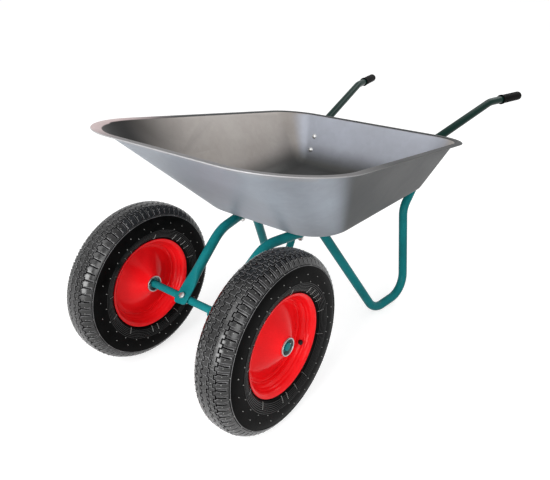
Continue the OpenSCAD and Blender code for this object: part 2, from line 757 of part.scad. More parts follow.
// Tread: ring grooves, and slits over each shoulder along the chord between two points of the section
groove_turns = [6.3, 30.5];
slit_in_turn = groove_turns[1];
slit_out_turn = 59;
slit_in = [tyre_mid_r, 0] + squared(slit_in_turn, tyre_high, tyre_w / 2);
slit_out = [tyre_mid_r, 0] + squared(slit_out_turn, tyre_high, tyre_w / 2);
slit_slope = atan2(slit_out[0] - slit_in[0], slit_out[1] - slit_in[1]);

module tread_grooves() {
    for (turn = groove_turns, end = hub_ends) {
        p = [tyre_mid_r, 0] + squared(turn, tyre_high, tyre_w / 2);
        translate([0, 0, end * p[1] - groove_w / 2])
            rotate_extrude() translate([p[0] - groove_d, 0]) square([groove_d + tyre_high, groove_w]);
    }
}

module shoulder_slits() {
    for (end = hub_ends, i = [0:tread_pitches - 1])
        mirror([0, 0, end < 0 ? 1 : 0])
            rotate([0, 0, 360 * (i + (end < 0 ? slit_stagger_share : 0)) / tread_pitches])
                translate([slit_in[0], 0, slit_in[1]])
                    rotate([0, slit_slope, 0])
                        translate([-slit_d, -slit_w / 2, 0])
                            cube([slit_d + tyre_high, slit_w, norm(slit_out - slit_in)]);
}

module tyre(side) {
    color("#222222") on_wheel(side) difference() {
        rotate_extrude() polygon(tyre_outline);
        tread_grooves();
        shoulder_slits();
    }
}

// Inner tube: fills the casing, with its own skin
module inner_tube(side) {
    color("#333333") on_wheel(side) difference() {
        rotate_extrude() polygon(tyre_arc(180, cavity_high - seat_gap, cavity_wide - seat_gap));
        rotate_extrude() polygon(tyre_arc(180, cavity_high - seat_gap - tube_skin, cavity_wide - seat_gap - tube_skin));
    }
}

// The stem, and the rubber collar that fills the hole in the rim
module valve(side) {
    color("#222222") at_valve(side) {
        translate([0, 0, -valve_base]) cylinder(h = valve_base + valve_len, d = valve_d);
        cylinder(h = 2 * grommet_half, d = valve_d + 2 * valve_hole_gap - 2 * fit_gap, center = true);
    }
}

module valve_cap(side) {
    color("black") at_valve(side) translate([0, 0, valve_len + fit_gap]) cylinder(h = cap_len, d = valve_d + cap_over);
}

tray();
frame_tube(left);  // frame_tube_left
frame_tube(right);  // frame_tube_right
grip(left);  // grip_left
grip(right);  // grip_right
axle();
axle_washers();
split_pins();
bearing_inner_rings();
axle_bolts();
axle_nuts();
floor_bolts();
floor_nuts();
wall_bolts();
wall_nuts();
tyre(left);  // tyre_left
tyre(right);  // tyre_right
inner_tube(left);  // inner_tube_left
inner_tube(right);  // inner_tube_right
rim(left);  // rim_left
rim(right);  // rim_right
disc(left, 1);  // outer_disc_left
disc(right, 1);  // outer_disc_right
disc(left, -1);  // inner_disc_left
disc(right, -1);  // inner_disc_right
hub(left);  // hub_left
hub(right);  // hub_right
bearing_outer_rings(left);  // bearing_outer_rings_left
bearing_outer_rings(right);  // bearing_outer_rings_right
bearing_balls(left);  // bearing_balls_left
bearing_balls(right);  // bearing_balls_right
valve(left);  // valve_left
valve(right);  // valve_right
valve_cap(left);  // valve_cap_left
valve_cap(right);  // valve_cap_right
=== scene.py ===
# %% [markdown]
# # A two wheel garden wheelbarrow
# The solids of the barrow are already made: a pressed tray, two bent tubes, an axle and two pneumatic
# wheels. This lesson loads them as a fixed frame and dresses them with smooth meshes and with painted,
# galvanised and rubber finishes. Lengths below are written in millimetres, as on a workshop drawing, and
# each mesh is brought to metres when it is finished.

# %% Load the frame
import json
import math
import bmesh
import bpy
from mathutils import Matrix, Vector


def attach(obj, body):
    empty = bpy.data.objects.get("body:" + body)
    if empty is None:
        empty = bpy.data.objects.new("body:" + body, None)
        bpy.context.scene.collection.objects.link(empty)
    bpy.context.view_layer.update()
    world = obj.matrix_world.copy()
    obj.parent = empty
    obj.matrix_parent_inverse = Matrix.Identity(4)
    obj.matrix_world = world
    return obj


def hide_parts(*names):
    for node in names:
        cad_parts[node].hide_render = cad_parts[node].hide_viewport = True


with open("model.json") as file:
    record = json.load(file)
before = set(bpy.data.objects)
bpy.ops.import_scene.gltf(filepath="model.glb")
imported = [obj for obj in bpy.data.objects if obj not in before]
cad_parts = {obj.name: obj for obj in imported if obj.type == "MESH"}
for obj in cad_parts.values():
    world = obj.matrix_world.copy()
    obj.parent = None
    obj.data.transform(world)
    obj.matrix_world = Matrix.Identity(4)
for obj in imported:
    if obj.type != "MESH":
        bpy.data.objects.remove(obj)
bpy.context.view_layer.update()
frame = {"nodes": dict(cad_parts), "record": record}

# %% [markdown]
# ## Shared surface effects
# Real paint, zinc and rubber are never one flat colour. What several finishes share is built once as a
# node group with named sockets, and is placed in each material with its own values. This first group
# holds soft clouds and a fine grain. It reads Object coordinates, so the pattern stays with each piece
# when it moves.

# %% Cloudy grain
def new_group(name, inputs, outputs):
    group = bpy.data.node_groups.new(name, "ShaderNodeTree")
    for label, value in inputs:
        socket = group.interface.new_socket(label, in_out="INPUT", socket_type="NodeSocketFloat")
        socket.default_value = value
    for label in outputs:
        group.interface.new_socket(label, in_out="OUTPUT", socket_type="NodeSocketFloat")
    return group


def node(tree, kind, **values):
    made = tree.nodes.new(kind)
    for key, value in values.items():
        setattr(made, key, value)
    return made


def cloud_group():
    sizes = [("Cloud Scale", 9.0), ("Grain Scale", 900.0), ("Grain Share", 0.3)]
    group = new_group("cloudy_grain", sizes, ["Cloud", "Grain", "Mix"])
    start = node(group, "NodeGroupInput")
    end = node(group, "NodeGroupOutput")
    coords = node(group, "ShaderNodeTexCoord")
    cloud = node(group, "ShaderNodeTexNoise")
    cloud.inputs["Detail"].default_value = 5.0
    cloud.inputs["Roughness"].default_value = 0.6
    grain = node(group, "ShaderNodeTexNoise")
    grain.inputs["Detail"].default_value = 2.0
    blend = node(group, "ShaderNodeMix", data_type="FLOAT")
    link = group.links.new
    link(coords.outputs["Object"], cloud.inputs["Vector"])
    link(coords.outputs["Object"], grain.inputs["Vector"])
    link(start.outputs["Cloud Scale"], cloud.inputs["Scale"])
    link(start.outputs["Grain Scale"], grain.inputs["Scale"])
    link(start.outputs["Grain Share"], blend.inputs["Factor"])
    link(cloud.outputs["Fac"], blend.inputs["A"])
    link(grain.outputs["Fac"], blend.inputs["B"])
    link(cloud.outputs["Fac"], end.inputs["Cloud"])
    link(grain.outputs["Fac"], end.inputs["Grain"])
    link(blend.outputs["Result"], end.inputs["Mix"])
    return group


CLOUD = cloud_group()
print("node group:", CLOUD.name)

# %% [markdown]
# Hot zinc sets on steel in flat crystals, the spangle, each with its own grey. A noise alone would look
# like dirt. A Voronoi texture gives one value per cell, and a slight warp keeps the borders from being
# ruler-straight.

# %% Zinc spangle
def spangle_group():
    group = new_group("zinc_spangle", [("Flake Scale", 90.0), ("Warp", 0.01)], ["Flake"])
    start = node(group, "NodeGroupInput")
    end = node(group, "NodeGroupOutput")
    coords = node(group, "ShaderNodeTexCoord")
    warp = node(group, "ShaderNodeTexNoise")
    warp.inputs["Scale"].default_value = 40.0
    push = node(group, "ShaderNodeVectorMath", operation="SCALE")
    add = node(group, "ShaderNodeVectorMath", operation="ADD")
    flake = node(group, "ShaderNodeTexVoronoi")
    part = node(group, "ShaderNodeSeparateColor")
    link = group.links.new
    link(coords.outputs["Object"], warp.inputs["Vector"])
    link(warp.outputs["Color"], push.inputs["Vector"])
    link(start.outputs["Warp"], push.inputs["Scale"])
    link(coords.outputs["Object"], add.inputs[0])
    link(push.outputs["Vector"], add.inputs[1])
    link(add.outputs["Vector"], flake.inputs["Vector"])
    link(start.outputs["Flake Scale"], flake.inputs["Scale"])
    link(flake.outputs["Color"], part.inputs["Color"])
    link(part.outputs["Red"], end.inputs["Flake"])
    return group


SPANGLE = spangle_group()
print("node group:", SPANGLE.name)

# %% [markdown]
# A finish is a Principled shader with a few nodes in front of it. These helpers place a group, turn a
# value into colours or into a range, feed a bump and mix two colours, so that each finish below reads as
# a short recipe.

# %% Material helpers
def new_material(name, **sockets):
    material = bpy.data.materials.new(name)
    material.use_nodes = True
    shader = material.node_tree.nodes["Principled BSDF"]
    for label, value in sockets.items():
        shader.inputs[label.replace("_", " ")].default_value = value
    return material, material.node_tree, shader


def placed_group(tree, group, **values):
    made = node(tree, "ShaderNodeGroup", node_tree=group)
    for label, value in values.items():
        made.inputs[label.replace("_", " ")].default_value = value
    return made


def ramp(tree, source, stops):
    made = node(tree, "ShaderNodeValToRGB")
    points = made.color_ramp.elements
    for point, (place, colour) in zip(points, stops):
        point.position = place
        point.color = (*colour, 1.0)
    tree.links.new(source, made.inputs["Fac"])
    return made.outputs["Color"]


def spread(tree, source, low, high, start=0.3, stop=0.7):
    made = node(tree, "ShaderNodeMapRange")
    for label, value in (("From Min", start), ("From Max", stop), ("To Min", low), ("To Max", high)):
        made.inputs[label].default_value = value
    tree.links.new(source, made.inputs["Value"])
    return made.outputs["Result"]


def bumped(tree, shader, source, strength, depth):
    made = node(tree, "ShaderNodeBump")
    made.inputs["Strength"].default_value = strength
    made.inputs["Distance"].default_value = depth
    tree.links.new(source, made.inputs["Height"])
    tree.links.new(made.outputs["Normal"], shader.inputs["Normal"])


def mixed(tree, factor, a, b, blend="MIX"):
    made = node(tree, "ShaderNodeMix", data_type="RGBA", blend_type=blend)
    for socket, value in ((made.inputs["Factor"], factor), (made.inputs["A"], a), (made.inputs["B"], b)):
        if isinstance(value, (float, tuple)):
            socket.default_value = value if isinstance(value, float) else (*value, 1.0)
        else:
            tree.links.new(value, socket)
    return made.outputs["Result"]


print("material helpers ready")

# %% [markdown]
# ## Finishes
# The tubes and the axle have teal gloss paint, and the rims a red stoved enamel with a soft orange-peel
# skin. Gloss paint could mirror the whole room, but a low shine keeps its colour strong. Towards the
# handles the teal goes over into a near black green, a painted shade for the dark room that the gloss
# would mirror there. That follows the tube and is no repeating pattern, so it comes from the mesh, as an
# attribute of its own.

# %% Painted finishes
PEEL_DEPTH, PAINT_ROUGH = 0.0004, (-0.05, 0.08)


def paint(name, light, dark, rough, peel, shine):
    material, tree, shader = new_material(name, Specular_IOR_Level=shine)
    cloud = placed_group(tree, CLOUD, Cloud_Scale=11.0, Grain_Scale=420.0, Grain_Share=0.25)
    colour = ramp(tree, cloud.outputs["Mix"], [(0.35, dark), (0.6, light)])
    roughness = spread(tree, cloud.outputs["Cloud"], rough + PAINT_ROUGH[0], rough + PAINT_ROUGH[1])
    tree.links.new(roughness, shader.inputs["Roughness"])
    bumped(tree, shader, cloud.outputs["Grain"], peel, PEEL_DEPTH)
    return material, tree, shader, colour


def plain_paint(name, **values):
    material, tree, shader, colour = paint(name, **values)
    tree.links.new(colour, shader.inputs["Base Color"])
    return material


# A paint with a painted shade mixed in where the mesh's attribute says: the darker handles.
def handle_shaded_paint(name, handle_shade, **values):
    material, tree, shader, colour = paint(name, **values)
    where = node(tree, "ShaderNodeAttribute", attribute_name="handle_shade")
    tree.links.new(mixed(tree, where.outputs["Fac"], colour, handle_shade), shader.inputs["Base Color"])
    return material


# The teal's first colour is a painted shade, the near black green of the handles.
TEAL = handle_shaded_paint("teal_gloss_paint", handle_shade=(0.003, 0.023, 0.0175), light=(0.009, 0.186, 0.199),
                       dark=(0.006, 0.129, 0.139), rough=0.2, peel=0.03, shine=0.05)
RED = plain_paint("red_stoved_enamel", light=(0.92, 0.010, 0.014), dark=(0.78, 0.005, 0.008),
                  rough=0.14, peel=0.04, shine=0.12)
print("paints:", TEAL.name, RED.name)

# %% [markdown]
# The tray is galvanised sheet: dull, slightly blue, with faint flakes. Its main colour comes from the
# mesh, as an attribute named tint, because its large areas of painted shade and painted reflection follow
# the tray's form. Bolts and nuts are bright zinc, the hub sleeve is bare steel, and the washers carry a
# mist of the teal paint.

# %% Zinc finishes
WHITE = (1.0, 1.0, 1.0)


def galvanised():
    material, tree, shader = new_material("galvanised_sheet", Metallic=0.25, Specular_IOR_Level=0.08)
    flakes = placed_group(tree, SPANGLE, Flake_Scale=70.0, Warp=0.012)
    cloud = placed_group(tree, CLOUD, Cloud_Scale=5.0, Grain_Scale=700.0, Grain_Share=0.2)
    tint = node(tree, "ShaderNodeAttribute", attribute_name="tint")
    clouds = ramp(tree, cloud.outputs["Cloud"], [(0.3, (0.80, 0.785, 0.77)), (0.7, WHITE)])
    flake = ramp(tree, flakes.outputs["Flake"], [(0.0, (0.955, 0.955, 0.955)), (1.0, WHITE)])
    clouded = mixed(tree, 1.0, tint.outputs["Color"], clouds, "MULTIPLY")
    tree.links.new(mixed(tree, 1.0, clouded, flake, "MULTIPLY"), shader.inputs["Base Color"])
    tree.links.new(spread(tree, cloud.outputs["Mix"], low=0.38, high=0.52), shader.inputs["Roughness"])
    bumped(tree, shader, cloud.outputs["Mix"], strength=0.05, depth=0.002)
    return material


def zinc_plate(name, dark, light, metal):
    material, tree, shader = new_material(name, Metallic=metal)
    cloud = placed_group(tree, CLOUD, Cloud_Scale=60.0, Grain_Scale=1500.0, Grain_Share=0.35)
    colour = ramp(tree, cloud.outputs["Mix"], [(0.3, dark), (0.7, light)])
    tree.links.new(colour, shader.inputs["Base Color"])
    tree.links.new(spread(tree, cloud.outputs["Cloud"], low=0.22, high=0.4), shader.inputs["Roughness"])
    bumped(tree, shader, cloud.outputs["Grain"], strength=0.05, depth=0.0003)
    return material


GALVANISED = galvanised()
ZINC = zinc_plate("bright_zinc_plate", (0.52, 0.53, 0.54), (0.70, 0.70, 0.68), metal=0.9)
HUB_STEEL = zinc_plate("bare_hub_steel", (0.25, 0.25, 0.25), (0.60, 0.60, 0.59), metal=0.8)
DULL_ZINC = zinc_plate("zinc_with_paint_mist", (0.015, 0.08, 0.085), (0.05, 0.15, 0.155), metal=0.3)
print("metals:", GALVANISED.name, ZINC.name, HUB_STEEL.name, DULL_ZINC.name)

# %% [markdown]
# Rubber is nearly black, so its kinds differ mostly in shine. The sidewall is dull, the tops of the tread
# blocks mirror the lamps, and the blocks' edges and the shoulder rib are paler, a painted glint. A bump
# with large grain makes the tread a little wavy, as moulded rubber is; a fine grain there would make it
# look matt.

# %% Rubber finishes
GRAIN_DEPTH, RUBBER_ROUGH = 0.0006, (-0.06, 0.08)


def rubber(name, dark, light, rough, grain, shine=0.3, grain_scale=1400.0):
    material, tree, shader = new_material(name, Specular_IOR_Level=shine)
    cloud = placed_group(tree, CLOUD, Cloud_Scale=22.0, Grain_Scale=grain_scale, Grain_Share=0.4)
    colour = ramp(tree, cloud.outputs["Mix"], [(0.35, dark), (0.7, light)])
    tree.links.new(colour, shader.inputs["Base Color"])
    roughness = spread(tree, cloud.outputs["Mix"], rough + RUBBER_ROUGH[0], rough + RUBBER_ROUGH[1])
    tree.links.new(roughness, shader.inputs["Roughness"])
    bumped(tree, shader, cloud.outputs["Grain"], grain, GRAIN_DEPTH)
    return material


SIDEWALL_RUBBER = rubber("sidewall_rubber", (0.002, 0.002, 0.002), (0.005, 0.005, 0.005),
                         rough=0.28, grain=0.04, shine=0.02)
TREAD_RUBBER = rubber("tread_rubber", (0.002, 0.002, 0.002), (0.005, 0.005, 0.0052),
                      rough=0.22, grain=0.08, shine=0.56, grain_scale=170.0)
# A painted glint: the blocks' edges and the shoulder rib are paler than the tops.
EDGE_GLINT_RUBBER = rubber("block_edge_glint_rubber", (0.05, 0.05, 0.051), (0.20, 0.20, 0.204),
                     rough=0.24, grain=0.03, shine=0.25)
RIDGE_RUBBER = rubber("ridge_rubber", (0.004, 0.004, 0.004), (0.012, 0.012, 0.012),
                      rough=0.2, grain=0.03, shine=0.35)
VENT_RUBBER = rubber("vent_rubber", (0.18, 0.18, 0.17), (0.30, 0.30, 0.29), rough=0.5, grain=0.1)
GRIP_RUBBER = rubber("grip_rubber", (0.002, 0.002, 0.002), (0.004, 0.004, 0.004),
                     rough=0.55, grain=0.15, shine=0.02)
VALVE_RUBBER = rubber("valve_rubber", (0.004, 0.004, 0.004), (0.009, 0.009, 0.009),
                      rough=0.5, grain=0.1, shine=0.15)
TUBE_RUBBER = rubber("inner_tube_rubber", (0.015, 0.015, 0.015), (0.030, 0.030, 0.030), rough=0.6, grain=0.1)
print("rubbers on the tyre:", SIDEWALL_RUBBER.name, TREAD_RUBBER.name, EDGE_GLINT_RUBBER.name, RIDGE_RUBBER.name)

# %% [markdown]
# The frame's own solids get a finish too, by the name of their slot. Most of them are replaced by the
# meshes below. The bearings and the inner tubes stay as they are, so they need it.

# %% Finish the frame's own solids
NODE_FINISH = {"frame_paint": TEAL, "rim_paint": RED, "galvanised": GALVANISED, "zinc": ZINC,
               "bearing_steel": ZINC, "tyre": SIDEWALL_RUBBER, "grip_rubber": GRIP_RUBBER,
               "valve_rubber": VALVE_RUBBER, "tube_rubber": TUBE_RUBBER}
for entry in frame["record"]["subparts"]:
    solid = frame["nodes"][entry["node"]]
    solid.data.materials.clear()
    solid.data.materials.append(NODE_FINISH[entry["material_slot"]])

# %% [markdown]
# ## Helpers for every piece
# A piece starts as a bmesh in millimetres on the left side of the barrow, which is +X. When it is done,
# it is scaled to metres, shaded smooth except at sharp edges, and tied to the body that carries it. The
# right-hand piece is the mirror image of the left one, so each shape is described only once.

# %% Piece helpers
MM = 0.001
MERGE_REACH = 0.01
CREASE = 38


def merged(bm):
    bmesh.ops.remove_doubles(bm, verts=bm.verts, dist=MERGE_REACH)
    bmesh.ops.recalc_face_normals(bm, faces=bm.faces)
    return bm


def moved(bm, matrix):
    bmesh.ops.transform(bm, matrix=matrix, verts=bm.verts)
    return bm


def mirrored(bm):
    other = bm.copy()
    bmesh.ops.scale(other, vec=(-1, 1, 1), verts=other.verts)
    bmesh.ops.reverse_faces(other, faces=other.faces)
    return other


def add_piece(name, bm, body, material, nodes=(), crease=CREASE):
    bmesh.ops.scale(bm, vec=(MM, MM, MM), verts=bm.verts)
    mesh = bpy.data.meshes.new(name)
    bm.to_mesh(mesh)
    bm.free()
    mesh.shade_smooth()
    mesh.set_sharp_from_angle(angle=math.radians(crease))
    for finish in material if isinstance(material, tuple) else (material,):
        mesh.materials.append(finish)
    piece = bpy.data.objects.new(name, mesh)
    bpy.context.scene.collection.objects.link(piece)
    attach(piece, body)
    if nodes:
        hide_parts(*nodes)
    print(name, len(mesh.polygons), "faces")
    return piece


def add_pair(name, bm, material, nodes=(), bodies=("barrow", "barrow"), crease=CREASE):
    other = mirrored(bm)
    for side, shape, body in (("left", bm, bodies[0]), ("right", other, bodies[1])):
        own = [node + "_" + side for node in nodes]
        add_piece(name + "_" + side, shape, body, material, own, crease)


print("edges sharper than", CREASE, "degrees stay crisp")

# %% [markdown]
# ## The tray
# The tray is one sheet, pressed deep: a flat floor, four leaning walls with round corners, and a flat lip
# that is turned out and ends in a narrow hem. One way is to push a grid into shape. Here each level is a
# four-cornered outline, and its corners are rounded with a vertex bevel, because that gives the press
# tool's true radii.

# %% Tray levels
AXLE_Y, FLOOR_Z = -550.227, 332.0
FLOOR_FRONT, FLOOR_REAR = AXLE_Y + 204.0, AXLE_Y + 680.0
FLOOR_HALVES, FLOOR_RADII = (200.0, 218.0), (100.0, 28.0)
RIM_FRONT, RIM_REAR = AXLE_Y - 75.0, AXLE_Y + 749.0
RIM_FRONT_Z, RIM_REAR_Z = FLOOR_Z + 261.0, FLOOR_Z + 152.0
RIM_HALVES, RIM_RADII = (339.5, 304.5), (176.0, 89.0)
RIM_FALL = (RIM_FRONT_Z - RIM_REAR_Z) / (RIM_REAR - RIM_FRONT)
FRONT_CUTS, REAR_CUTS = 20, 14


def outline_face(bm, corners):
    return bm.faces.new([bm.verts.new(corner) for corner in corners])


def corner_trim(before, corner, after, radius):
    a = (Vector(before) - Vector(corner)).normalized()
    b = (Vector(after) - Vector(corner)).normalized()
    return radius / math.tan(a.angle(b) / 2)


def tray_level(bm, front, rear, front_half, rear_half, front_r, rear_r):
    """A flat outline with round corners: returns its vertices and edges."""
    corners = [(-front_half, front), (front_half, front), (rear_half, rear), (-rear_half, rear)]
    face = outline_face(bm, [(x, y, 0) for x, y in corners])
    verts = list(face.verts)
    old = set(bm.verts) - set(verts)
    trim_front = corner_trim(corners[3], corners[0], corners[1], front_r)
    trim_rear = corner_trim(corners[0], corners[3], corners[2], rear_r)
    for picks, trim, cuts in ((verts[:2], trim_front, FRONT_CUTS), (verts[2:], trim_rear, REAR_CUTS)):
        bmesh.ops.bevel(bm, geom=picks, offset=trim, offset_type="OFFSET", segments=cuts, profile=0.5,
                        affect="VERTICES", material=-1)
    fresh = [v for v in bm.verts if v not in old]
    edges = list({e for v in fresh for e in v.link_edges})
    return fresh, edges


def floor_level(bm):
    return tray_level(bm, FLOOR_FRONT, FLOOR_REAR, *FLOOR_HALVES, *FLOOR_RADII)


def rim_level(bm, out):
    sizes = [size + out for size in RIM_HALVES + RIM_RADII]
    return tray_level(bm, RIM_FRONT - out, RIM_REAR + out, *sizes)


def rim_z(y):
    return RIM_FRONT_Z - RIM_FALL * (y - RIM_FRONT)


print("the rim falls", RIM_FRONT_Z - RIM_REAR_Z, "mm from front to rear")

# %% [markdown]
# A press draws the sheet over its form in one stroke. The mesh does it in steps: the floor, the rim and
# each line of the lip are levels of their own, lifted to their height, and neighbouring levels are joined
# with a bridge.

# %% Press the tray
LIP_MIDDLE, LIP_FLAT = 10.0, 19.2
HEM_R, HEM_STEPS = 0.8, 6
LIP = [(0.0, 0.0), (LIP_MIDDLE, 0.0)]
for step in range(HEM_STEPS + 1):
    turn = math.pi * step / HEM_STEPS
    LIP.append((LIP_FLAT + HEM_R * math.sin(turn), HEM_R * (math.cos(turn) - 1)))
tray = bmesh.new()
floor_verts, floor_edges = floor_level(tray)
for v in floor_verts:
    v.co.z = FLOOR_Z
floor_faces = tray.faces[:]
levels = [floor_edges]
for out, drop in LIP:
    verts, edges = rim_level(tray, out)
    for v in verts:
        v.co.z = rim_z(v.co.y) + drop
    levels.append(edges)
top_edges = levels[1]
bmesh.ops.delete(tray, geom=[f for f in tray.faces if f not in floor_faces], context="FACES_ONLY")
for lower, upper in zip(levels, levels[1:]):
    bmesh.ops.bridge_loops(tray, edges=lower + upper)
print("tray:", len(tray.verts), "points on", len(levels), "levels")

# %% [markdown]
# Sheet steel never folds to a sharp corner. The folds round the floor and below the lip are edge loops,
# so a bevel rounds them. The long faces of the walls are then divided into a net, because the tint, with
# its painted shade and reflections, is written per vertex. The sheet gets its thickness last, half of it
# to each side of its middle.

# %% Fold and thicken the sheet
SHEET_T = 1.2
LIP_BEND, LIP_CUTS, FLOOR_BEND, FLOOR_CUTS = 6.0, 4, 24.0, 7
NET_CUTS, LONG_EDGE, STEEP_SHARE, LEVEL_NORMAL = 11, 90.0, 0.7, 0.99
bmesh.ops.bevel(tray, geom=top_edges, offset=LIP_BEND, offset_type="OFFSET", segments=LIP_CUTS, profile=0.5,
                affect="EDGES", material=-1, clamp_overlap=True)
bmesh.ops.bevel(tray, geom=floor_edges, offset=FLOOR_BEND, offset_type="OFFSET", segments=FLOOR_CUTS,
                profile=0.5, affect="EDGES", material=-1, clamp_overlap=False)
merged(tray)


def is_steep(edge):
    return abs(edge.verts[0].co.z - edge.verts[1].co.z) > LONG_EDGE * STEEP_SHARE


for steep in (True, False):
    long_edges = [e for e in tray.edges if e.calc_length() > LONG_EDGE and is_steep(e) == steep]
    bmesh.ops.subdivide_edges(tray, edges=long_edges, cuts=NET_CUTS, use_grid_fill=True)
floor_face = max(tray.faces, key=lambda f: f.calc_area() if abs(f.normal.z) > LEVEL_NORMAL else 0)
if floor_face.normal.z < 0:
    bmesh.ops.reverse_faces(tray, faces=tray.faces)
tray.normal_update()
for v in tray.verts:
    v.co += v.normal * SHEET_T / 2
print("floor top at", round(floor_face.calc_center_median().z, 2))
bmesh.ops.solidify(tray, geom=tray.faces[:], thickness=SHEET_T)
heights = [v.co.z for v in tray.verts]
print("tray from", round(min(heights), 2), "to", round(max(heights), 2))

# %% [markdown]
# The sheet's colour is uneven, and most of it is painted light and shade. Outside, the side walls get a
# painted shade and are far darker than the front. Inside, the walls are browner and the rear wall is bluer
# and lighter, painted reflections of the room. The front end inside is painted dark as shade, and the floor
# and the crease round it as shade with some dirt. The lip is darker towards the rear and has a painted
# reflection on its front corner at the right, and its hem has a painted highlight along the front.
# These are large soft areas, so they are written as one colour per vertex, and the material adds the fine
# pattern. A picture painted on the sheet would need a UV map, and would not follow a change of shape.

# %% Tint and shade the sheet
# Outside colours: the front, and a painted shade that makes the side walls far darker
OUT_FRONT, OUT_SIDE_SHADE = Vector((0.33, 0.365, 0.415)), Vector((0.056, 0.059, 0.061))
# The outside rear, and a painted reflection on the inside rear wall, bluer and lighter
OUT_REAR, REAR_WALL_REFLECTION = Vector((0.27, 0.29, 0.32)), Vector((0.43, 0.455, 0.52))
# Inside: walls browner by a painted reflection, and a painted shade, nearly black, at the front end
INSIDE_REFLECTION, INSIDE_FRONT_SHADE = Vector((0.43, 0.402, 0.382)), Vector((0.012, 0.0115, 0.0115))
# A painted shade with some dirt on the floor, and a painted reflection on the lip's front corner
FLOOR_SHADE_AND_DIRT, LIP_REFLECTION = Vector((0.075, 0.077, 0.076)), Vector((0.66, 0.53, 0.53))
LIP_REAR_DARK, LIP_FRONT = Vector((0.030, 0.032, 0.034)), Vector((0.20, 0.195, 0.20))
# The hem: darker at the rear and sides, with a painted highlight along the front
HEM_REAR_DARK, HEM_FRONT_HIGHLIGHT = Vector((0.10, 0.10, 0.10)), Vector((0.42, 0.42, 0.43))
LIP_DEPTH, HEM_DEPTH, CREASE_HEIGHT, SHADE_SHARE = 2.0, 4.5, 75.0, 0.3
SHEET_CREASE = 45
# Each pair below is a range over which one tint goes over into the next: of a place, or of a normal's Y.
FORWARD, REFLECTION_FORWARD, REFLECTION_RIGHT = (280.0, 600.0), (300.0, 520.0), (100.0, 280.0)
# Where the painted shade at the inside front end reaches, forwards and to the right
SHADE_FORWARD, SHADE_RIGHT = (240.0, 500.0), (60.0, 260.0)
FRONT_TO_SIDE, SIDE_TO_REAR, INTO_REAR_WALL = (-0.38, -0.04), (0.15, 0.7), (0.45, 0.85)
OVER_TRAY = Vector((0, (FLOOR_FRONT + FLOOR_REAR) / 2, RIM_FRONT_Z + 200.0))


def soft(value, low, high):
    """Goes from 0 at low to 1 at high, without a kink."""
    share = min(max((value - low) / (high - low), 0.0), 1.0)
    return share * share * (3 - 2 * share)


def outside_tint(co, normal, depth):
    if depth < HEM_DEPTH:
        # a painted highlight along the front of the hem
        return HEM_REAR_DARK.lerp(HEM_FRONT_HIGHLIGHT, soft(-co.y, *FORWARD))
    # a painted shade on the side walls outside
    wall = OUT_FRONT.lerp(OUT_SIDE_SHADE, soft(normal.y, *FRONT_TO_SIDE))
    return wall.lerp(OUT_REAR, soft(normal.y, *SIDE_TO_REAR))


def inside_tint(co, normal, depth):
    if depth < LIP_DEPTH:
        # a painted reflection on the lip's front corner at the right
        lip_reflection = soft(-co.y, *REFLECTION_FORWARD) * soft(-co.x, *REFLECTION_RIGHT)
        return LIP_REAR_DARK.lerp(LIP_FRONT, soft(-co.y, *FORWARD)).lerp(LIP_REFLECTION, lip_reflection)
    # painted reflections: browner walls and a bluer, lighter rear wall
    wall = INSIDE_REFLECTION.lerp(REAR_WALL_REFLECTION, soft(-normal.y, *INTO_REAR_WALL))
    # a painted shade at the inside front end, strongest on the right
    front_shade = soft(-co.y, *SHADE_FORWARD) * (SHADE_SHARE + (1 - SHADE_SHARE) * soft(-co.x, *SHADE_RIGHT))
    wall = wall.lerp(INSIDE_FRONT_SHADE, front_shade)
    # a painted shade with some dirt on the floor and up its crease
    return FLOOR_SHADE_AND_DIRT.lerp(wall, soft(co.z - FLOOR_Z, 0.0, CREASE_HEIGHT))


tray.normal_update()
tint = tray.verts.layers.float_color.new("tint")
for v in tray.verts:
    side_tint = outside_tint if v.normal.dot(OVER_TRAY - v.co) < 0 else inside_tint
    v[tint] = (*side_tint(v.co, v.normal, rim_z(v.co.y) - v.co.z), 1.0)
add_piece("pressed_tray", tray, "barrow", GALVANISED, ["tray"], SHEET_CREASE)

# %% [markdown]
# ## The frame tubes
# Each side of the frame is one tube, from the axle to the grip. A curve with a round bevel could draw it.
# Here it is made the way a pipe bender works, so that straight runs stay straight: a ring is pushed along
# with extrude, and swung with spin at each bend, all in one plane that leans and splays outwards.

# %% Tube plane and path
TUBE_R, TUBE_SIDES = 12.5, 32
SPLAY, LEAN = math.radians(12.3), math.radians(7.1)
FLOOR_BOLT_X, FLOOR_BOLT_Y, UNDER_FLOOR_Z = 96.5, AXLE_Y + 253.0, 318.7
ACROSS_TO_UP = Matrix(((0, 0, 1, 0), (1, 0, 0, 0), (0, 1, 0, 0), (0, 0, 0, 1)))
TUBE_PLANE = (Matrix.Translation((FLOOR_BOLT_X, FLOOR_BOLT_Y, UNDER_FLOOR_Z))
              @ Matrix.Rotation(-SPLAY, 4, "Z") @ Matrix.Rotation(-LEAN, 4, "Y") @ ACROSS_TO_UP)
TUBE_CORNERS = [(-199.795, -65.942), (-112.696, 0), (59.363, 0), (256.646, -311.851), (389.821, -298.031),
                (401.237, -38.999), (453.554, 17.857), (499.522, 123.751), (868.583, 214.272),
                (1056.58, 214.272)]
TUBE_BENDS = [0, 95, 58, 56, 65, 60, 60, 40, 120, 0]
BEND_STEP, FEWEST_STEPS = math.radians(5), 2


def pushed(bm, edges):
    """Extrudes a line of edges; returns the new vertices and the new line, both still in the old place."""
    grown = bmesh.ops.extrude_edge_only(bm, edges=edges)["geom"]
    fresh = [g for g in grown if isinstance(g, bmesh.types.BMVert)]
    known = set(fresh)
    line = [g for g in grown if isinstance(g, bmesh.types.BMEdge) and all(v in known for v in g.verts)]
    return fresh, line


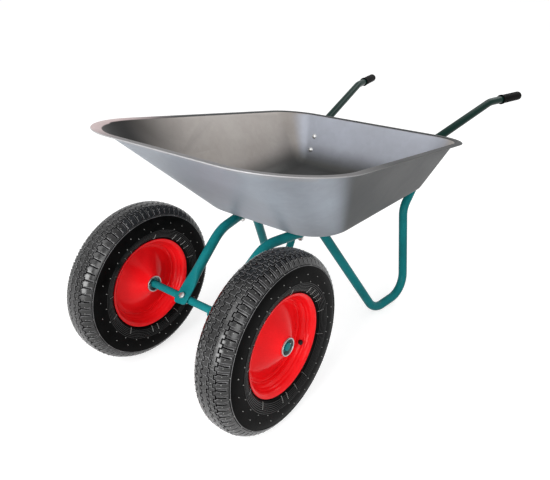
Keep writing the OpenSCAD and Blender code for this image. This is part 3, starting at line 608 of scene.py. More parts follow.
def bend_tube(bm, corners, radii):
    """Pushes a ring along the corners in the XY plane; returns the first and the last ring's edges."""
    points = [Vector((x, y, 0)) for x, y in corners]
    ways = [(b - a).normalized() for a, b in zip(points, points[1:])]
    turns = [0] + [math.atan2(a.cross(b).z, a.dot(b)) for a, b in zip(ways, ways[1:])] + [0]
    trims = [radius * math.tan(abs(turn) / 2) for radius, turn in zip(radii, turns)]
    face_way = ways[0].to_track_quat("Z", "Y").to_matrix().to_4x4()
    ring = bmesh.ops.create_circle(bm, segments=TUBE_SIDES, radius=TUBE_R,
                                   matrix=Matrix.Translation(points[0]) @ face_way)
    edges = list({e for v in ring["verts"] for e in v.link_edges})
    first = edges
    for i, way in enumerate(ways):
        length = (points[i + 1] - points[i]).length - trims[i] - trims[i + 1]
        fresh, edges = pushed(bm, edges)
        bmesh.ops.translate(bm, vec=way * length, verts=fresh)
        if i + 1 < len(ways):
            turn = turns[i + 1]
            side = Vector((-way.y, way.x, 0)) * (1 if turn > 0 else -1)
            centre = points[i + 1] - way * trims[i + 1] + side * radii[i + 1]
            steps = max(FEWEST_STEPS, round(abs(turn) / BEND_STEP))
            swung = bmesh.ops.spin(bm, geom=edges, cent=centre, axis=(0, 0, 1), dvec=(0, 0, 0), angle=turn,
                                   steps=steps, use_merge=False)["geom_last"]
            edges = [g for g in swung if isinstance(g, bmesh.types.BMEdge)]
    return first, edges


frame_tube = bmesh.new()
first_ring, last_ring = bend_tube(frame_tube, TUBE_CORNERS, TUBE_BENDS)
moved(frame_tube, TUBE_PLANE)
print("tube:", len(frame_tube.faces), "faces through", len(TUBE_CORNERS) - 2, "bends")

# %% [markdown]
# The front end of the tube is squeezed flat, so that it can lie on the axle and take a bolt. A flat plate
# could be joined to a round end, but the weld would show. So more rings are extruded towards the axle,
# and each is moved a little further from the round section to a flat one. The last rings draw in, which
# rounds the plate's corners.

# %% Squeeze the front end
AXLE_R, SEAT_GAP, WHEEL_R = 9.0, 0.2, 197.0
STRUT_RISE, STRUT_TOE, STRUT_X = math.radians(37), math.radians(5.56361), 54.2418
STRUT_FOOT = (Matrix.Translation((STRUT_X, AXLE_Y, WHEEL_R)) @ Matrix.Rotation(STRUT_RISE, 4, "X")
              @ Matrix.Rotation(-STRUT_TOE, 4, "Z"))
FLAT_HALF_W, FLAT_HALF_T = 19.0, 2.0
FLAT_TAPER, FLAT_HALF_LEN, FLAT_CORNER = 60.0, 19.0, 9.0
PLATE_Z = AXLE_R + SEAT_GAP + FLAT_HALF_T
SQUARENESS, TAPER_STEPS = 0.62, 10
PLATE_STOPS, CORNER_TURNS = (10.0, 0.0), (0.3, 0.6, 0.9, 1.2, 1.45)
# Where the painted shade on the tube begins and where it is full, towards the handles.
HANDLE_SHADE_FROM, HANDLE_SHADE_TO = AXLE_Y + 690.0, AXLE_Y + 745.0


def squeezed(co, flat, shrink):
    """A point of the round ring, x across and z up from its middle, moved to the flattened section."""
    power = 1 - SQUARENESS * flat
    across, upward = co.x / TUBE_R, co.z / TUBE_R
    half_w = (TUBE_R + (FLAT_HALF_W - TUBE_R) * flat) * shrink
    half_t = TUBE_R + (FLAT_HALF_T - TUBE_R) * flat
    return (math.copysign(abs(across) ** power, across) * half_w,
            math.copysign(abs(upward) ** power, upward) * half_t + PLATE_Z)


moved(frame_tube, STRUT_FOOT.inverted())
start_y, plate_y = FLAT_HALF_LEN + FLAT_TAPER, FLAT_CORNER - FLAT_HALF_LEN
stations = [(start_y - FLAT_TAPER * k / TAPER_STEPS, soft(k / TAPER_STEPS, 0.0, 1.0), 1.0)
            for k in range(1, TAPER_STEPS + 1)]
stations += [(y, 1.0, 1.0) for y in (*PLATE_STOPS, plate_y)]
for angle in CORNER_TURNS:
    width = FLAT_HALF_W - FLAT_CORNER + FLAT_CORNER * math.cos(angle)
    stations.append((plate_y - FLAT_CORNER * math.sin(angle), 1.0, width / FLAT_HALF_W))
edges = first_ring
shape = {v: v.co.copy() for e in first_ring for v in e.verts}
for y, flat, shrink in stations:
    before = {v: shape[v] for e in edges for v in e.verts}
    fresh, edges = pushed(frame_tube, edges)
    for v in fresh:
        base = before[min(before, key=lambda b: (b.co - v.co).length_squared)]
        x, z = squeezed(Vector((base.x, 0, base.z - PLATE_Z)), flat, shrink)
        v.co = Vector((x, y, z))
        shape[v] = base
for ring in (edges, last_ring):
    bmesh.ops.edgeloop_fill(frame_tube, edges=ring)
moved(frame_tube, STRUT_FOOT)
merged(frame_tube)
# A painted shade: the tube's paint darkens towards the handles.
handle_shade = frame_tube.verts.layers.float.new("handle_shade")
for v in frame_tube.verts:
    v[handle_shade] = soft(v.co.y, HANDLE_SHADE_FROM, HANDLE_SHADE_TO)
add_pair("bent_tube", frame_tube, TEAL, ["frame_tube"])

# %% [markdown]
# ## Turned shapes
# Rims, hubs, grips, bolts and the axle are all round about one line, as if made on a lathe. Such a part
# could be a cylinder with loops cut into it, but an outline that is spun round its axis keeps every
# radius exact. So one helper rounds chosen corners of an outline with a vertex bevel, and spins it.

# %% Turned shapes
MIDDLE_TURN, ROUND_CUTS, ON_AXIS = 48, 4, 0.001


def turned(outline, rounding=None, steps=MIDDLE_TURN):
    """Spins a closed outline of (along, radius) round X; rounding maps a width to corner numbers."""
    bm = bmesh.new()
    face = outline_face(bm, [(x, r, 0) for x, r in outline])
    corners = list(face.verts)
    for width, picks in (rounding or {}).items():
        bmesh.ops.bevel(bm, geom=[corners[i] for i in picks], offset=width, offset_type="OFFSET",
                        segments=ROUND_CUTS, profile=0.5, affect="VERTICES", material=-1)
    bmesh.ops.delete(bm, geom=bm.faces[:], context="FACES_ONLY")
    core = [e for e in bm.edges if all(abs(v.co.y) < ON_AXIS for v in e.verts)]
    bmesh.ops.delete(bm, geom=core, context="EDGES")
    bmesh.ops.spin(bm, geom=bm.verts[:] + bm.edges[:], cent=(0, 0, 0), axis=(1, 0, 0), dvec=(0, 0, 0),
                   angle=2 * math.pi, steps=steps, use_merge=True)
    return merged(bm)


print("a turned shape has", MIDDLE_TURN, "steps, if no other number is given")

# %% [markdown]
# ## Grips
# A grip is a soft sleeve with a collar at its mouth and a rounded end. A scaled cylinder would lose the
# collar, so its half outline is spun as a turned shape and then laid on the end of the tube.

# %% Turn the grips
GRIP_LEN, GRIP_R, GRIP_END_T = 118, 15, 5
COLLAR_W, COLLAR_SLOPE, COLLAR_R = 8, 1.5, 16.5
GRIP_BORE_R, GRIP_GAP = 12.6, 0.1
GRIP_OUTLINE = [(-GRIP_LEN, GRIP_BORE_R), (-GRIP_LEN, COLLAR_R), (COLLAR_W - GRIP_LEN, COLLAR_R),
                (COLLAR_W + COLLAR_SLOPE - GRIP_LEN, GRIP_R), (GRIP_END_T, GRIP_R), (GRIP_END_T, 0),
                (GRIP_GAP, 0), (GRIP_GAP, GRIP_BORE_R)]
COLLAR_ROUND, END_ROUND = 1.0, 9.0
grip = turned(GRIP_OUTLINE, {COLLAR_ROUND: [1, 2], END_ROUND: [4]})
tube_end = Matrix.Translation((*TUBE_CORNERS[-1], 0))
moved(grip, TUBE_PLANE @ tube_end)
add_pair("handle_sleeve", grip, GRIP_RUBBER, ["grip"])

# %% [markdown]
# ## Rims, discs and hubs
# The rim is a hoop of rolled sheet, with two flanges that hold the tyre and a lower middle. A torus could
# stand for it, but the steps in the sheet catch the light. So the line of the sheet is drawn, given its
# thickness on both sides, rounded at the folds and spun round the axle.

# %% Turn the rim
def strip(line, thickness):
    """Both sides of a sheet along a line of (along, radius) points."""
    sides = ([], [])
    for i, point in enumerate(line):
        here = Vector(point)
        before = (here - Vector(line[i - 1])).normalized() if i else (Vector(line[1]) - here).normalized()
        after = (Vector(line[i + 1]) - here).normalized() if i + 1 < len(line) else before
        middle = (before + after).normalized()
        push = Vector((-middle.y, middle.x)) * (thickness / 2 / middle.dot(after))
        sides[0].append(tuple(here + push))
        sides[1].append(tuple(here - push))
    return sides[0] + sides[1][::-1]


WHEEL_X, WHEELS = 208.0, ("wheel_left", "wheel_right")
ON_WHEEL = Matrix.Translation((WHEEL_X, AXLE_Y, WHEEL_R))
RIM_T, FLANGE_ROUND, STEP_ROUND, WHEEL_TURN = 2.0, 0.9, 1.6, 144
HALF_RIM = [(36.0, 113.0), (35.4, 110.2), (34.2, 107.6), (31.8, 105.0), (28.0, 102.8), (23.5, 101.6),
            (20.5, 99.4), (17.0, 98.8), (13.5, 95.6), (9.0, 93.0)]
rim_line = HALF_RIM + [(-x, r) for x, r in HALF_RIM[::-1]]
count = len(rim_line)
flange_corners = [0, count - 1, count, 2 * count - 1]
step_corners = [5, 6, 7, 8, count - 6, count - 7, count - 8, count - 9]
rim = turned(strip(rim_line, RIM_T), {FLANGE_ROUND: flange_corners, STEP_ROUND: step_corners}, WHEEL_TURN)
moved(rim, ON_WHEEL)
add_pair("wheel_hoop", rim, RED, ["rim"], WHEELS)

# %% [markdown]
# Two pressed cones carry the hub in the rim, one from each side. They are the same pressing, so the inner
# one is the outer one mirrored, and both are spun from the line of their sheet like the rim.

# %% Press the discs
DISC_LINE = [(8.0, 90.8), (4.0, 90.8), (2.0, 88.8), (2.5, 82.8), (38.0, 24.05), (40.0, 21.05), (42.0, 21.05)]
DISC_ROUND, DISC_FOLDS = 2.0, [3, 4, 9, 10]
outer_disc = turned(strip(DISC_LINE, RIM_T), {DISC_ROUND: DISC_FOLDS}, WHEEL_TURN)
inner_disc = mirrored(outer_disc)
for side, disc in (("outer", outer_disc), ("inner", inner_disc)):
    moved(disc, ON_WHEEL)
    add_pair(side + "_dish", disc, RED, [side + "_disc"], WHEELS)

# %% [markdown]
# The hub is a plain steel sleeve. It could be two cylinders and a boolean, but four corners of an outline
# say the same. They are rounded a little, because a bare steel edge shows as a thin bright line.

# %% Turn the hub sleeve
HUB_HALF, HUB_R, HUB_BORE_R, HUB_ROUND, HUB_TURN = 45, 20, 17.55, 0.8, 72
HUB_OUTLINE = [(-HUB_HALF, HUB_BORE_R), (-HUB_HALF, HUB_R), (HUB_HALF, HUB_R), (HUB_HALF, HUB_BORE_R)]
hub = turned(HUB_OUTLINE, {HUB_ROUND: [0, 1, 2, 3]}, HUB_TURN)
moved(hub, ON_WHEEL)
add_pair("hub_sleeve", hub, HUB_STEEL, ["hub"], WHEELS)

# %% [markdown]
# ## Tyres
# A barrow tyre is nearly as square as it is round, so its section is a superellipse, from the crown down
# to the heel behind the rim's flange. Everything on the tyre is placed by its run, the length along the
# section from the crown, and its height over the section. That way tread and sidewall are one skin.

# %% Tyre section
SECTION_MID, SECTION_HALF_H, SECTION_HALF_W, SECTION_POWER = 150.025, 46.975, 47.0, 2.6
HEEL_R, SECTION_STEPS, RUN_SLACK = 116.0, 400, 1e-9


def section_point(angle):
    across, upward = math.sin(angle), math.cos(angle)
    return (SECTION_HALF_W * math.copysign(abs(across) ** (2 / SECTION_POWER), across),
            SECTION_MID + SECTION_HALF_H * math.copysign(abs(upward) ** (2 / SECTION_POWER), upward))


section_end = math.acos(-((SECTION_MID - HEEL_R) / SECTION_HALF_H) ** (SECTION_POWER / 2))
section = [section_point(section_end * i / SECTION_STEPS) for i in range(SECTION_STEPS + 1)]
section_run = [0.0]
for a, b in zip(section, section[1:]):
    section_run.append(section_run[-1] + math.dist(a, b))
SECTION_LEN = section_run[-1]


def on_section(across, height):
    """(along the axle, radius) at a signed run from the crown and a height over the section."""
    run = min(abs(across), SECTION_LEN)
    i = next(k for k, total in enumerate(section_run[1:]) if total >= run - RUN_SLACK)
    share = (run - section_run[i]) / (section_run[i + 1] - section_run[i])
    a, b = Vector(section[i]), Vector(section[i + 1])
    way = (b - a).normalized()
    out = Vector((-way.y, way.x))
    place = a + (b - a) * share + out * height
    return (math.copysign(place.x, across) if across else 0.0, place.y)


print("tyre section:", round(SECTION_LEN, 1), "mm from crown to heel")

# %% [markdown]
# The tread repeats seventy-two times, so only one pitch is modelled, laid flat. A row of points from bead
# to bead is extruded along the pitch, with lines where a groove, a rib or a ring begins. A groove is a
# line that steps from side to side, and a slit runs from it out over each shoulder. This cell says what
# lies where.

# %% Tread plan
GROOVE_D = 4.0
GROOVES = [(8.5, 2.2, 1.15), (23.0, 2.4, 1.3)]  # each: middle, step to the side and half width
CROSS_SHARE, SLIT_SHARES = 0.12, (0.28, 0.45)
TREAD_EDGE, SLIT_INNER, SLIT_END = 50.5, 25.0, 46.5
RIB_LOW, RIB_HIGH, RIB_SLOPE = 52.2, 53.6, 0.4
RING_START, RING_GAP, RINGS = 88.5, 3.7, 6
RING_LINES, RING_TOP = (0.0, 0.5, 1.5, 2.0), (0.4, 1.6)
RIDGE_H, WALL_H, HEEL_W = 0.7, -0.3, 2.0
BLOCK_RUNS, WALL_RUNS = [0.0, 2.5, 15.6, 33.0, 40.0], [60.0, 67.0, 74.0, 81.0, 87.0]
half_steps = [0.0, CROSS_SHARE, *SLIT_SHARES]
steps_round = half_steps + [0.5 + share for share in half_steps] + [1.0]
groove_runs = [centre + way * step + edge * half
               for centre, step, half in GROOVES for way in (-1, 1) for edge in (-1, 1)]
half_runs = sorted(BLOCK_RUNS + groove_runs) + [SLIT_END, TREAD_EDGE]
half_runs += [RIB_LOW - RIB_SLOPE, RIB_LOW, RIB_HIGH, RIB_HIGH + RIB_SLOPE] + WALL_RUNS
for k in range(RINGS):
    half_runs += [RING_START + RING_GAP * k + line for line in RING_LINES]
half_runs += [SECTION_LEN - HEEL_W, SECTION_LEN]


def base_height(run):
    if run <= SLIT_END:
        return -GROOVE_D
    on_ring = RING_START <= run < RING_START + RING_GAP * RINGS
    if on_ring and RING_TOP[0] < (run - RING_START) % RING_GAP < RING_TOP[1]:
        return RIDGE_H
    return RIDGE_H if RIB_LOW <= run <= RIB_HIGH else WALL_H


def on_left_half(share, across):
    """The two halves of the tread are the same, half a pitch apart."""
    return (share + (0.5 if across < 0 else 0.0)) % 1.0


def is_block(share, across):
    run = abs(across)
    share = on_left_half(share, across)
    for centre, step, half in GROOVES:
        low, high = centre - step - half, centre + step + half
        if share % 0.5 < CROSS_SHARE:
            inside = low < run < high
        else:
            middle = centre + (step if share < 0.5 else -step)
            inside = middle - half < run < middle + half
        if inside:
            return False
    if SLIT_SHARES[0] < share < SLIT_SHARES[1] and SLIT_INNER < run < SLIT_END:
        return False
    return run < TREAD_EDGE


print("one pitch has", len(half_runs) * 2 - 1, "lines along and", len(steps_round), "lines across")

# %% [markdown]
# Grooves could be cut out of a smooth tyre with booleans, but that leaves long thin faces. Here the faces
# that are tread blocks are raised from the groove's floor with one extrude. An inset then gives each
# block a narrow sloping edge, which gets its own finish: a paler rubber, a painted glint.

# %% One pitch of tread, laid flat
PITCH_LEN, EDGE_W, CROWN_H = 17.0, 0.6, 0.45
TREAD_SLOT, GLINT_SLOT, RIDGE_SLOT, VENT_SLOT = 1, 2, 3, 4
tyre = bmesh.new()
runs = [-run for run in half_runs[:0:-1]] + half_runs
row = [tyre.verts.new((across, 0, base_height(abs(across)))) for across in runs]
edges = [tyre.edges.new(pair) for pair in zip(row, row[1:])]
for low, high in zip(steps_round, steps_round[1:]):
    fresh, edges = pushed(tyre, edges)
    bmesh.ops.translate(tyre, vec=(0, (high - low) * PITCH_LEN, 0), verts=fresh)
blocks = []
for face in tyre.faces:
    middle = face.calc_center_median()
    if is_block(middle.y / PITCH_LEN, middle.x):
        blocks.append(face)
raised = bmesh.ops.extrude_face_region(tyre, geom=blocks)["geom"]
bmesh.ops.delete(tyre, geom=blocks, context="FACES")
for v in raised:
    if isinstance(v, bmesh.types.BMVert):
        v.co.z = 0.0
tops = [g for g in raised if isinstance(g, bmesh.types.BMFace)]
bmesh.ops.recalc_face_normals(tyre, faces=tyre.faces)
edge_faces = bmesh.ops.inset_region(tyre, faces=tops, thickness=EDGE_W, depth=0.0, use_boundary=False,
                                    use_even_offset=True)["faces"]
for v in {v for f in tops for v in f.verts}:
    v.co.z = CROWN_H
for face in tyre.faces:
    run = abs(face.calc_center_median().x)
    # the shoulder rib gets the painted glint of the blocks' edges
    if run > RIB_LOW and base_height(run) == RIDGE_H:
        face.material_index = RIDGE_SLOT if run > RIB_HIGH else GLINT_SLOT
for faces, finish_slot in ((tops, TREAD_SLOT), (edge_faces, GLINT_SLOT)):
    for face in faces:
        face.material_index = finish_slot
print("one pitch:", len(tyre.faces), "faces,", len(tops), "of them block tops")

# %% [markdown]
# The slits on the shoulders are wide at the groove and narrow towards the sidewall, so points near a slit
# are shifted along the pitch first. Then each point is laid on the section, which bends the flat pitch
# round the tyre, and spin copies the pitch round the wheel. Copying last keeps every pitch the same, and
# costs little time.

# %% Wrap the pitch and spin it round
SLIT_MID, SLIT_HALF = sum(SLIT_SHARES) / 2, (SLIT_SHARES[1] - SLIT_SHARES[0]) / 2
SLIT_REACH, SLIT_START, WIDE_SHARE, NARROW_SHARE = 0.2, 27.0, 1.25, 0.25
PITCHES, SEAM_REACH = 72, 0.02


def slit_taper(share, across):
    """Shift of a point along the pitch, in shares of it, that narrows the slits towards the sidewall."""
    run = abs(across)
    off = on_left_half(share, across) - SLIT_MID
    if run < SLIT_START or run > TREAD_EDGE or abs(off) > SLIT_REACH:
        return 0.0
    out_share = min((run - SLIT_START) / (SLIT_END - SLIT_START), 1.0)
    half = SLIT_HALF * (WIDE_SHARE + (NARROW_SHARE - WIDE_SHARE) * out_share)
    if abs(off) <= SLIT_HALF:
        return off * (half / SLIT_HALF - 1)
    rest = (SLIT_REACH - abs(off)) / (SLIT_REACH - SLIT_HALF)
    return math.copysign((half - SLIT_HALF) * rest, off)


def copied_round(bm, count):
    bmesh.ops.spin(bm, geom=bm.verts[:] + bm.edges[:] + bm.faces[:], cent=(0, 0, 0), axis=(1, 0, 0),
                   dvec=(0, 0, 0), angle=2 * math.pi * (count - 1) / count, steps=count - 1,
                   use_duplicate=True)
    return bm


for v in tyre.verts:
    v.co.y += slit_taper(v.co.y / PITCH_LEN, v.co.x) * PITCH_LEN
    along, radius = on_section(v.co.x, v.co.z)
    angle = 2 * math.pi / PITCHES * v.co.y / PITCH_LEN
    v.co = Vector((along, radius * math.cos(angle), radius * math.sin(angle)))
copied_round(tyre, PITCHES)
bmesh.ops.remove_doubles(tyre, verts=tyre.verts, dist=SEAM_REACH)
print("tyre:", len(tyre.faces), "faces in", PITCHES, "pitches")

# %% [markdown]
# Below the rim's flange the tyre turns in to its bead, which sits on the rim's seat. The open edge of the
# skin is extruded ring by ring along the rim, and the last ring is led across to the other bead, so that
# the tyre is closed.

# %% Close the beads
BEAD_R, BEAD_X = 104.4, 26.0
BEAD_RINGS = [(114.4, 34.4), (111.0, 33.4), (108.4, 31.8), (106.2, 29.4), (BEAD_R, BEAD_X)]


def bead_ring(edges, radius, along):
    fresh, line = pushed(tyre, edges)
    for v in fresh:
        scale = radius / math.hypot(v.co.y, v.co.z)
        v.co = Vector((along, v.co.y * scale, v.co.z * scale))
    return line


open_edges = [e for e in tyre.edges if e.is_boundary]
for side in (1, -1):
    ring = [e for e in open_edges if e.verts[0].co.x * side > 0]
    for radius, along in BEAD_RINGS:
        ring = bead_ring(ring, radius, side * along)
bead_ring(ring, BEAD_R, BEAD_X)
bmesh.ops.remove_doubles(tyre, verts=tyre.verts, dist=SEAM_REACH)
bmesh.ops.recalc_face_normals(tyre, faces=tyre.faces)
triangles = sum(len(f.verts) - 2 for f in tyre.faces)
print("open edges:", sum(e.is_boundary for e in tyre.edges), "triangles:", triangles)

# %% [markdown]
# Air leaves the tyre mould through pin holes and thin cuts. They print rings of small nubs on the
# sidewall and the tread, and fine hairs across the ridges by the rim. A bump in the material would not
# show in the outline, so a nub is a short cone, and a hair is a low roof that is extruded along the
# section. Both are copied round the wheel.

# %% Nubs and hairs from the mould
NUB_R, NUB_TOP_R, NUB_H, NUB_SINK, NUB_SIDES = 1.0, 0.7, 1.9, 0.4, 6
NUB_RINGS = ((142.0, 24, 0.0), (156.5, 24, 7.0), (175.0, 24, 4.0))  # each: radius, count and first angle
TREAD_NUBS = ((0.0, 1.0), (16.0, 3.0), (36.0, 3.0))  # each: run and first angle
HAIR_TURNS = (54, 45, 36, 28, 12, -16, -60, -76, -90, -98, -131, -164, 171, 148, 127, 118, 84)
HAIR_SPAN, HAIR_HALF_W, HAIR_H, HAIR_SINK, HAIR_STEPS = (131.0, 117.0), 0.45, 1.3, 0.3, 6


def joined(*shapes):
    whole = bmesh.new()
    for shape in shapes:
        part = bpy.data.meshes.new("part")
        shape.to_mesh(part)
        shape.free()
        whole.from_mesh(part)
        bpy.data.meshes.remove(part)
    return whole


def run_at(radius):
    return next(run for run, (along, r) in zip(section_run, section) if r <= radius)


def on_tyre(run, height):
    """Local Z out of the tyre's skin at angle 0, with local X along the section."""
    low, high = Vector(on_section(run, height)), Vector(on_section(run, height + 1))
    out = (high - low).normalized()
    way = Vector((out.y, -out.x))
    return Matrix(((way.x, 0, out.x, low.x), (way.y, 0, out.y, low.y), (0, -1, 0, 0), (0, 0, 0, 1)))


def nub_ring(run, count, start):
    bm = bmesh.new()
    place = Matrix.Rotation(math.radians(start), 4, "X") @ on_tyre(run, NUB_H / 2 - NUB_SINK)
    bmesh.ops.create_cone(bm, cap_ends=True, segments=NUB_SIDES, radius1=NUB_R, radius2=NUB_TOP_R,
                          depth=NUB_H, matrix=place)
    return copied_round(bm, count)


def hair():
    bm = bmesh.new()
    low, high = (run_at(radius) for radius in HAIR_SPAN)
    stops = [low + (high - low) * k / HAIR_STEPS for k in range(HAIR_STEPS + 1)]
    corners = ((-HAIR_HALF_W, -HAIR_SINK), (0, HAIR_H), (HAIR_HALF_W, -HAIR_SINK))
    flat = [Vector((0, y, z)) for y, z in corners]
    roof = [bm.verts.new(on_tyre(stops[0], 0) @ corner) for corner in flat]
    edges = [bm.edges.new(pair) for pair in zip(roof, roof[1:])]
    for stop in stops[1:]:
        fresh, edges = pushed(bm, edges)
        for v in fresh:
            v.co = on_tyre(stop, 0) @ min(flat, key=lambda f: abs(f.y + v.co.z))
    return bm


vents = [nub_ring(run_at(radius), count, start) for radius, count, start in NUB_RINGS]
vents += [nub_ring(run, PITCHES, start) for run, start in TREAD_NUBS]
one_hair = hair()
vents += [moved(one_hair.copy(), Matrix.Rotation(math.radians(turn), 4, "X")) for turn in HAIR_TURNS]
one_hair.free()
vents = joined(*vents)
other_side = mirrored(vents)
vents = joined(vents, other_side)
for face in vents.faces:
    face.material_index = VENT_SLOT
print("vents:", len(vents.faces), "faces")

# %% [markdown]
# Skin and vents become one piece, with a finish for each kind of face. Its shading is split at a smaller
# angle than on other pieces, which keeps the blocks' edges crisp.

# %% Put the tyres on
TYRE_CREASE = 30
TYRE_FINISHES = (SIDEWALL_RUBBER, TREAD_RUBBER, EDGE_GLINT_RUBBER, RIDGE_RUBBER, VENT_RUBBER)
tyre = joined(tyre, vents)
moved(tyre, ON_WHEEL)
add_pair("tyre_cover", tyre, TYRE_FINISHES, ["tyre"], WHEELS, TYRE_CREASE)

# %% [markdown]
# ## Axle, bolts and pins
# The axle is one painted bar through both wheels. It is turned from a half outline, so that its ends get
# the small chamfer that a cut bar has.

# %% Turn the axle
AXLE_HALF, AXLE_ROUND = 252, 1.0
AXLE_OUTLINE = [(-AXLE_HALF, 0), (-AXLE_HALF, AXLE_R), (AXLE_HALF, AXLE_R), (AXLE_HALF, 0)]
axle = turned(AXLE_OUTLINE, {AXLE_ROUND: [1, 2]})
moved(axle, Matrix.Translation((0, AXLE_Y, WHEEL_R)))
add_piece("axle_bar", axle, "barrow", TEAL, ["axle"])

# %% [markdown]
# Small hardware shows up as points of light, so it gets real edges. A bolt is turned in one go: a
# chamfered tip, a thread that is a stack of rings, which at this size looks like a spiral, a neck, and a
# domed head. Nuts and plain heads are six-sided prisms with bevelled edges.

# %% Bolt and nut helpers
BOLT_R, THREAD_R, THREAD_PITCH, THREAD_TURNS = 4.0, 3.45, 1.25, 8
TIP_CHAMFER, TIP_LEAD, BOLT_TIP = 0.6, 0.7, 3.0
DOME_R, DOME_H, DOME_STEPS = 8.5, 4.5, 8
HEX_R, HEAD_H, NUT_H = 6.5 / math.cos(math.pi / 6), 5.3, 6.5
HEX_CHAMFER, SAME_LEVEL, MIRROR_REACH = 0.6, 0.001, 0.0001
SMALL_TURN, UPRIGHT = 32, Matrix.Rotation(-math.pi / 2, 4, "Y")


def shank(grip):
    """The half outline of a bolt below its head: a chamfered tip, a thread and a plain neck."""
    tip = -grip - NUT_H - BOLT_TIP
    thread = tip + TIP_LEAD
    line = [(tip, 0), (tip, THREAD_R - TIP_CHAMFER)]
    for k in range(THREAD_TURNS):
        line += [(thread + THREAD_PITCH * k, BOLT_R), (thread + THREAD_PITCH * (k + 0.5), THREAD_R)]
    return line + [(thread + THREAD_PITCH * THREAD_TURNS, BOLT_R), (0, BOLT_R)]


def dome_bolt(grip):
    ball = (DOME_R ** 2 + DOME_H ** 2) / (2 * DOME_H)
    edge = math.asin(DOME_R / ball)
    angles = [edge * (1 - k / DOME_STEPS) for k in range(DOME_STEPS + 1)]
    dome = [(DOME_H - ball + ball * math.cos(angle), ball * math.sin(angle)) for angle in angles]
    return moved(turned(shank(grip) + dome, steps=SMALL_TURN), UPRIGHT)


def hexagon(low, high):
    bm = bmesh.new()
    bmesh.ops.create_cone(bm, cap_ends=True, segments=6, radius1=HEX_R, radius2=HEX_R, depth=high - low,
                          matrix=Matrix.Translation((0, 0, (low + high) / 2)))
    flat = [e for e in bm.edges if abs(e.verts[0].co.z - e.verts[1].co.z) < SAME_LEVEL]
    bmesh.ops.bevel(bm, geom=flat, offset=HEX_CHAMFER, offset_type="OFFSET", segments=2, profile=0.5,
                    affect="EDGES", material=-1)
    return bm


def hex_bolt(grip):
    return joined(moved(turned(shank(grip) + [(0, 0)], steps=SMALL_TURN), UPRIGHT), hexagon(0, HEAD_H))


def on_both_sides(shape, places):
    whole = joined(*[moved(shape.copy(), place) for place in places])
    shape.free()
    bmesh.ops.mirror(whole, geom=whole.verts[:] + whole.edges[:] + whole.faces[:], axis="X",
                     merge_dist=MIRROR_REACH)
    bmesh.ops.recalc_face_normals(whole, faces=whole.faces)
    return whole


print("bolt thread:", BOLT_R * 2, "mm wide,", THREAD_TURNS, "turns")

# %% [markdown]
# Each tube is held by a bolt through the tray's floor, two through its rear wall and one through the
# axle. The bolts of one place on both sides are one set, so a set is built on the left, placed, and
# mirrored as a whole.

# %% Bolts and nuts on the tray and the axle
TRAY_GRIP, AXLE_GRIP = 26.65, 22.45
WALL_RISE = math.radians(65.5845)
FLOOR_SEAT, WALL_SEAT, PLATE_SEAT = 0.65, 0.8, 4.25
WALL_BOLTS = ((189.993, AXLE_Y + 699.974, 376), (188.795, AXLE_Y + 719.039, 418))
AT_FLOOR = [Matrix.Translation((FLOOR_BOLT_X, FLOOR_BOLT_Y, FLOOR_Z + FLOOR_SEAT))]
AT_WALL = [Matrix.Translation(place) @ Matrix.Rotation(WALL_RISE, 4, "X")
           @ Matrix.Translation((0, 0, WALL_SEAT)) for place in WALL_BOLTS]
AT_STRUT = [Matrix.Translation((STRUT_X, AXLE_Y, WHEEL_R)) @ Matrix.Rotation(STRUT_RISE, 4, "X")
            @ Matrix.Translation((0, 0, AXLE_R + PLATE_SEAT))]
BOLT_SETS = [("floor", AT_FLOOR, TRAY_GRIP, dome_bolt), ("wall", AT_WALL, TRAY_GRIP, dome_bolt),
             ("axle", AT_STRUT, AXLE_GRIP, hex_bolt)]
for place_name, places, grip_len, bolt in BOLT_SETS:
    bolts = on_both_sides(bolt(grip_len), places)
    add_piece(place_name + "_bolt_set", bolts, "barrow", ZINC, [place_name + "_bolts"])
    nuts = on_both_sides(hexagon(-grip_len - NUT_H, -grip_len), places)
    add_piece(place_name + "_nut_set", nuts, "barrow", ZINC, [place_name + "_nuts"])

# %% [markdown]
# A washer lies in each open end of a hub sleeve, against the bearing, and keeps the wheel in its place on
# the axle. The washers are turned rings, rounded a little, as stamped ones are.

# %% Washers
WASHER_HALF_T, WASHER_R, WASHER_BORE_R, WASHER_ROUND, WASHER_OUT = 1, 16, 9.05, 0.4, 35.05
WASHER_OUTLINE = [(-WASHER_HALF_T, WASHER_BORE_R), (-WASHER_HALF_T, WASHER_R), (WASHER_HALF_T, WASHER_R),
                  (WASHER_HALF_T, WASHER_BORE_R)]
washer = turned(WASHER_OUTLINE, {WASHER_ROUND: [0, 1, 2, 3]})
washer_places = [Matrix.Translation((WHEEL_X + out, AXLE_Y, WHEEL_R)) for out in (-WASHER_OUT, WASHER_OUT)]
washers = on_both_sides(washer, washer_places)
add_piece("axle_washer_set", washers, "barrow", DULL_ZINC, ["axle_washers"])

# %% [markdown]
# A split pin goes through the axle behind each washer. It is a rod with an eye of wire at one end and two
# bent tails at the other. The eye could be a torus; here a circle is spun, with use_merge to close it.

# %% Split pins
PIN_R, PIN_LEG, PIN_OUT, PIN_SIDES = 2.0, 11.0, 38.25, 16
EYE_R, WIRE_R, WIRE_SIDES, EYE_STEPS = 2.15, 0.92, 12, 24
TAIL_R, TAIL_LEN, TAIL_SPREAD = 1.0, 4.0, math.radians(40)


def rod(radius, low, high, way=Matrix()):
    bm = bmesh.new()
    bmesh.ops.create_cone(bm, cap_ends=True, segments=PIN_SIDES, radius1=radius, radius2=radius,
                          depth=high - low, matrix=way @ Matrix.Translation((0, 0, (low + high) / 2)))
    return bm


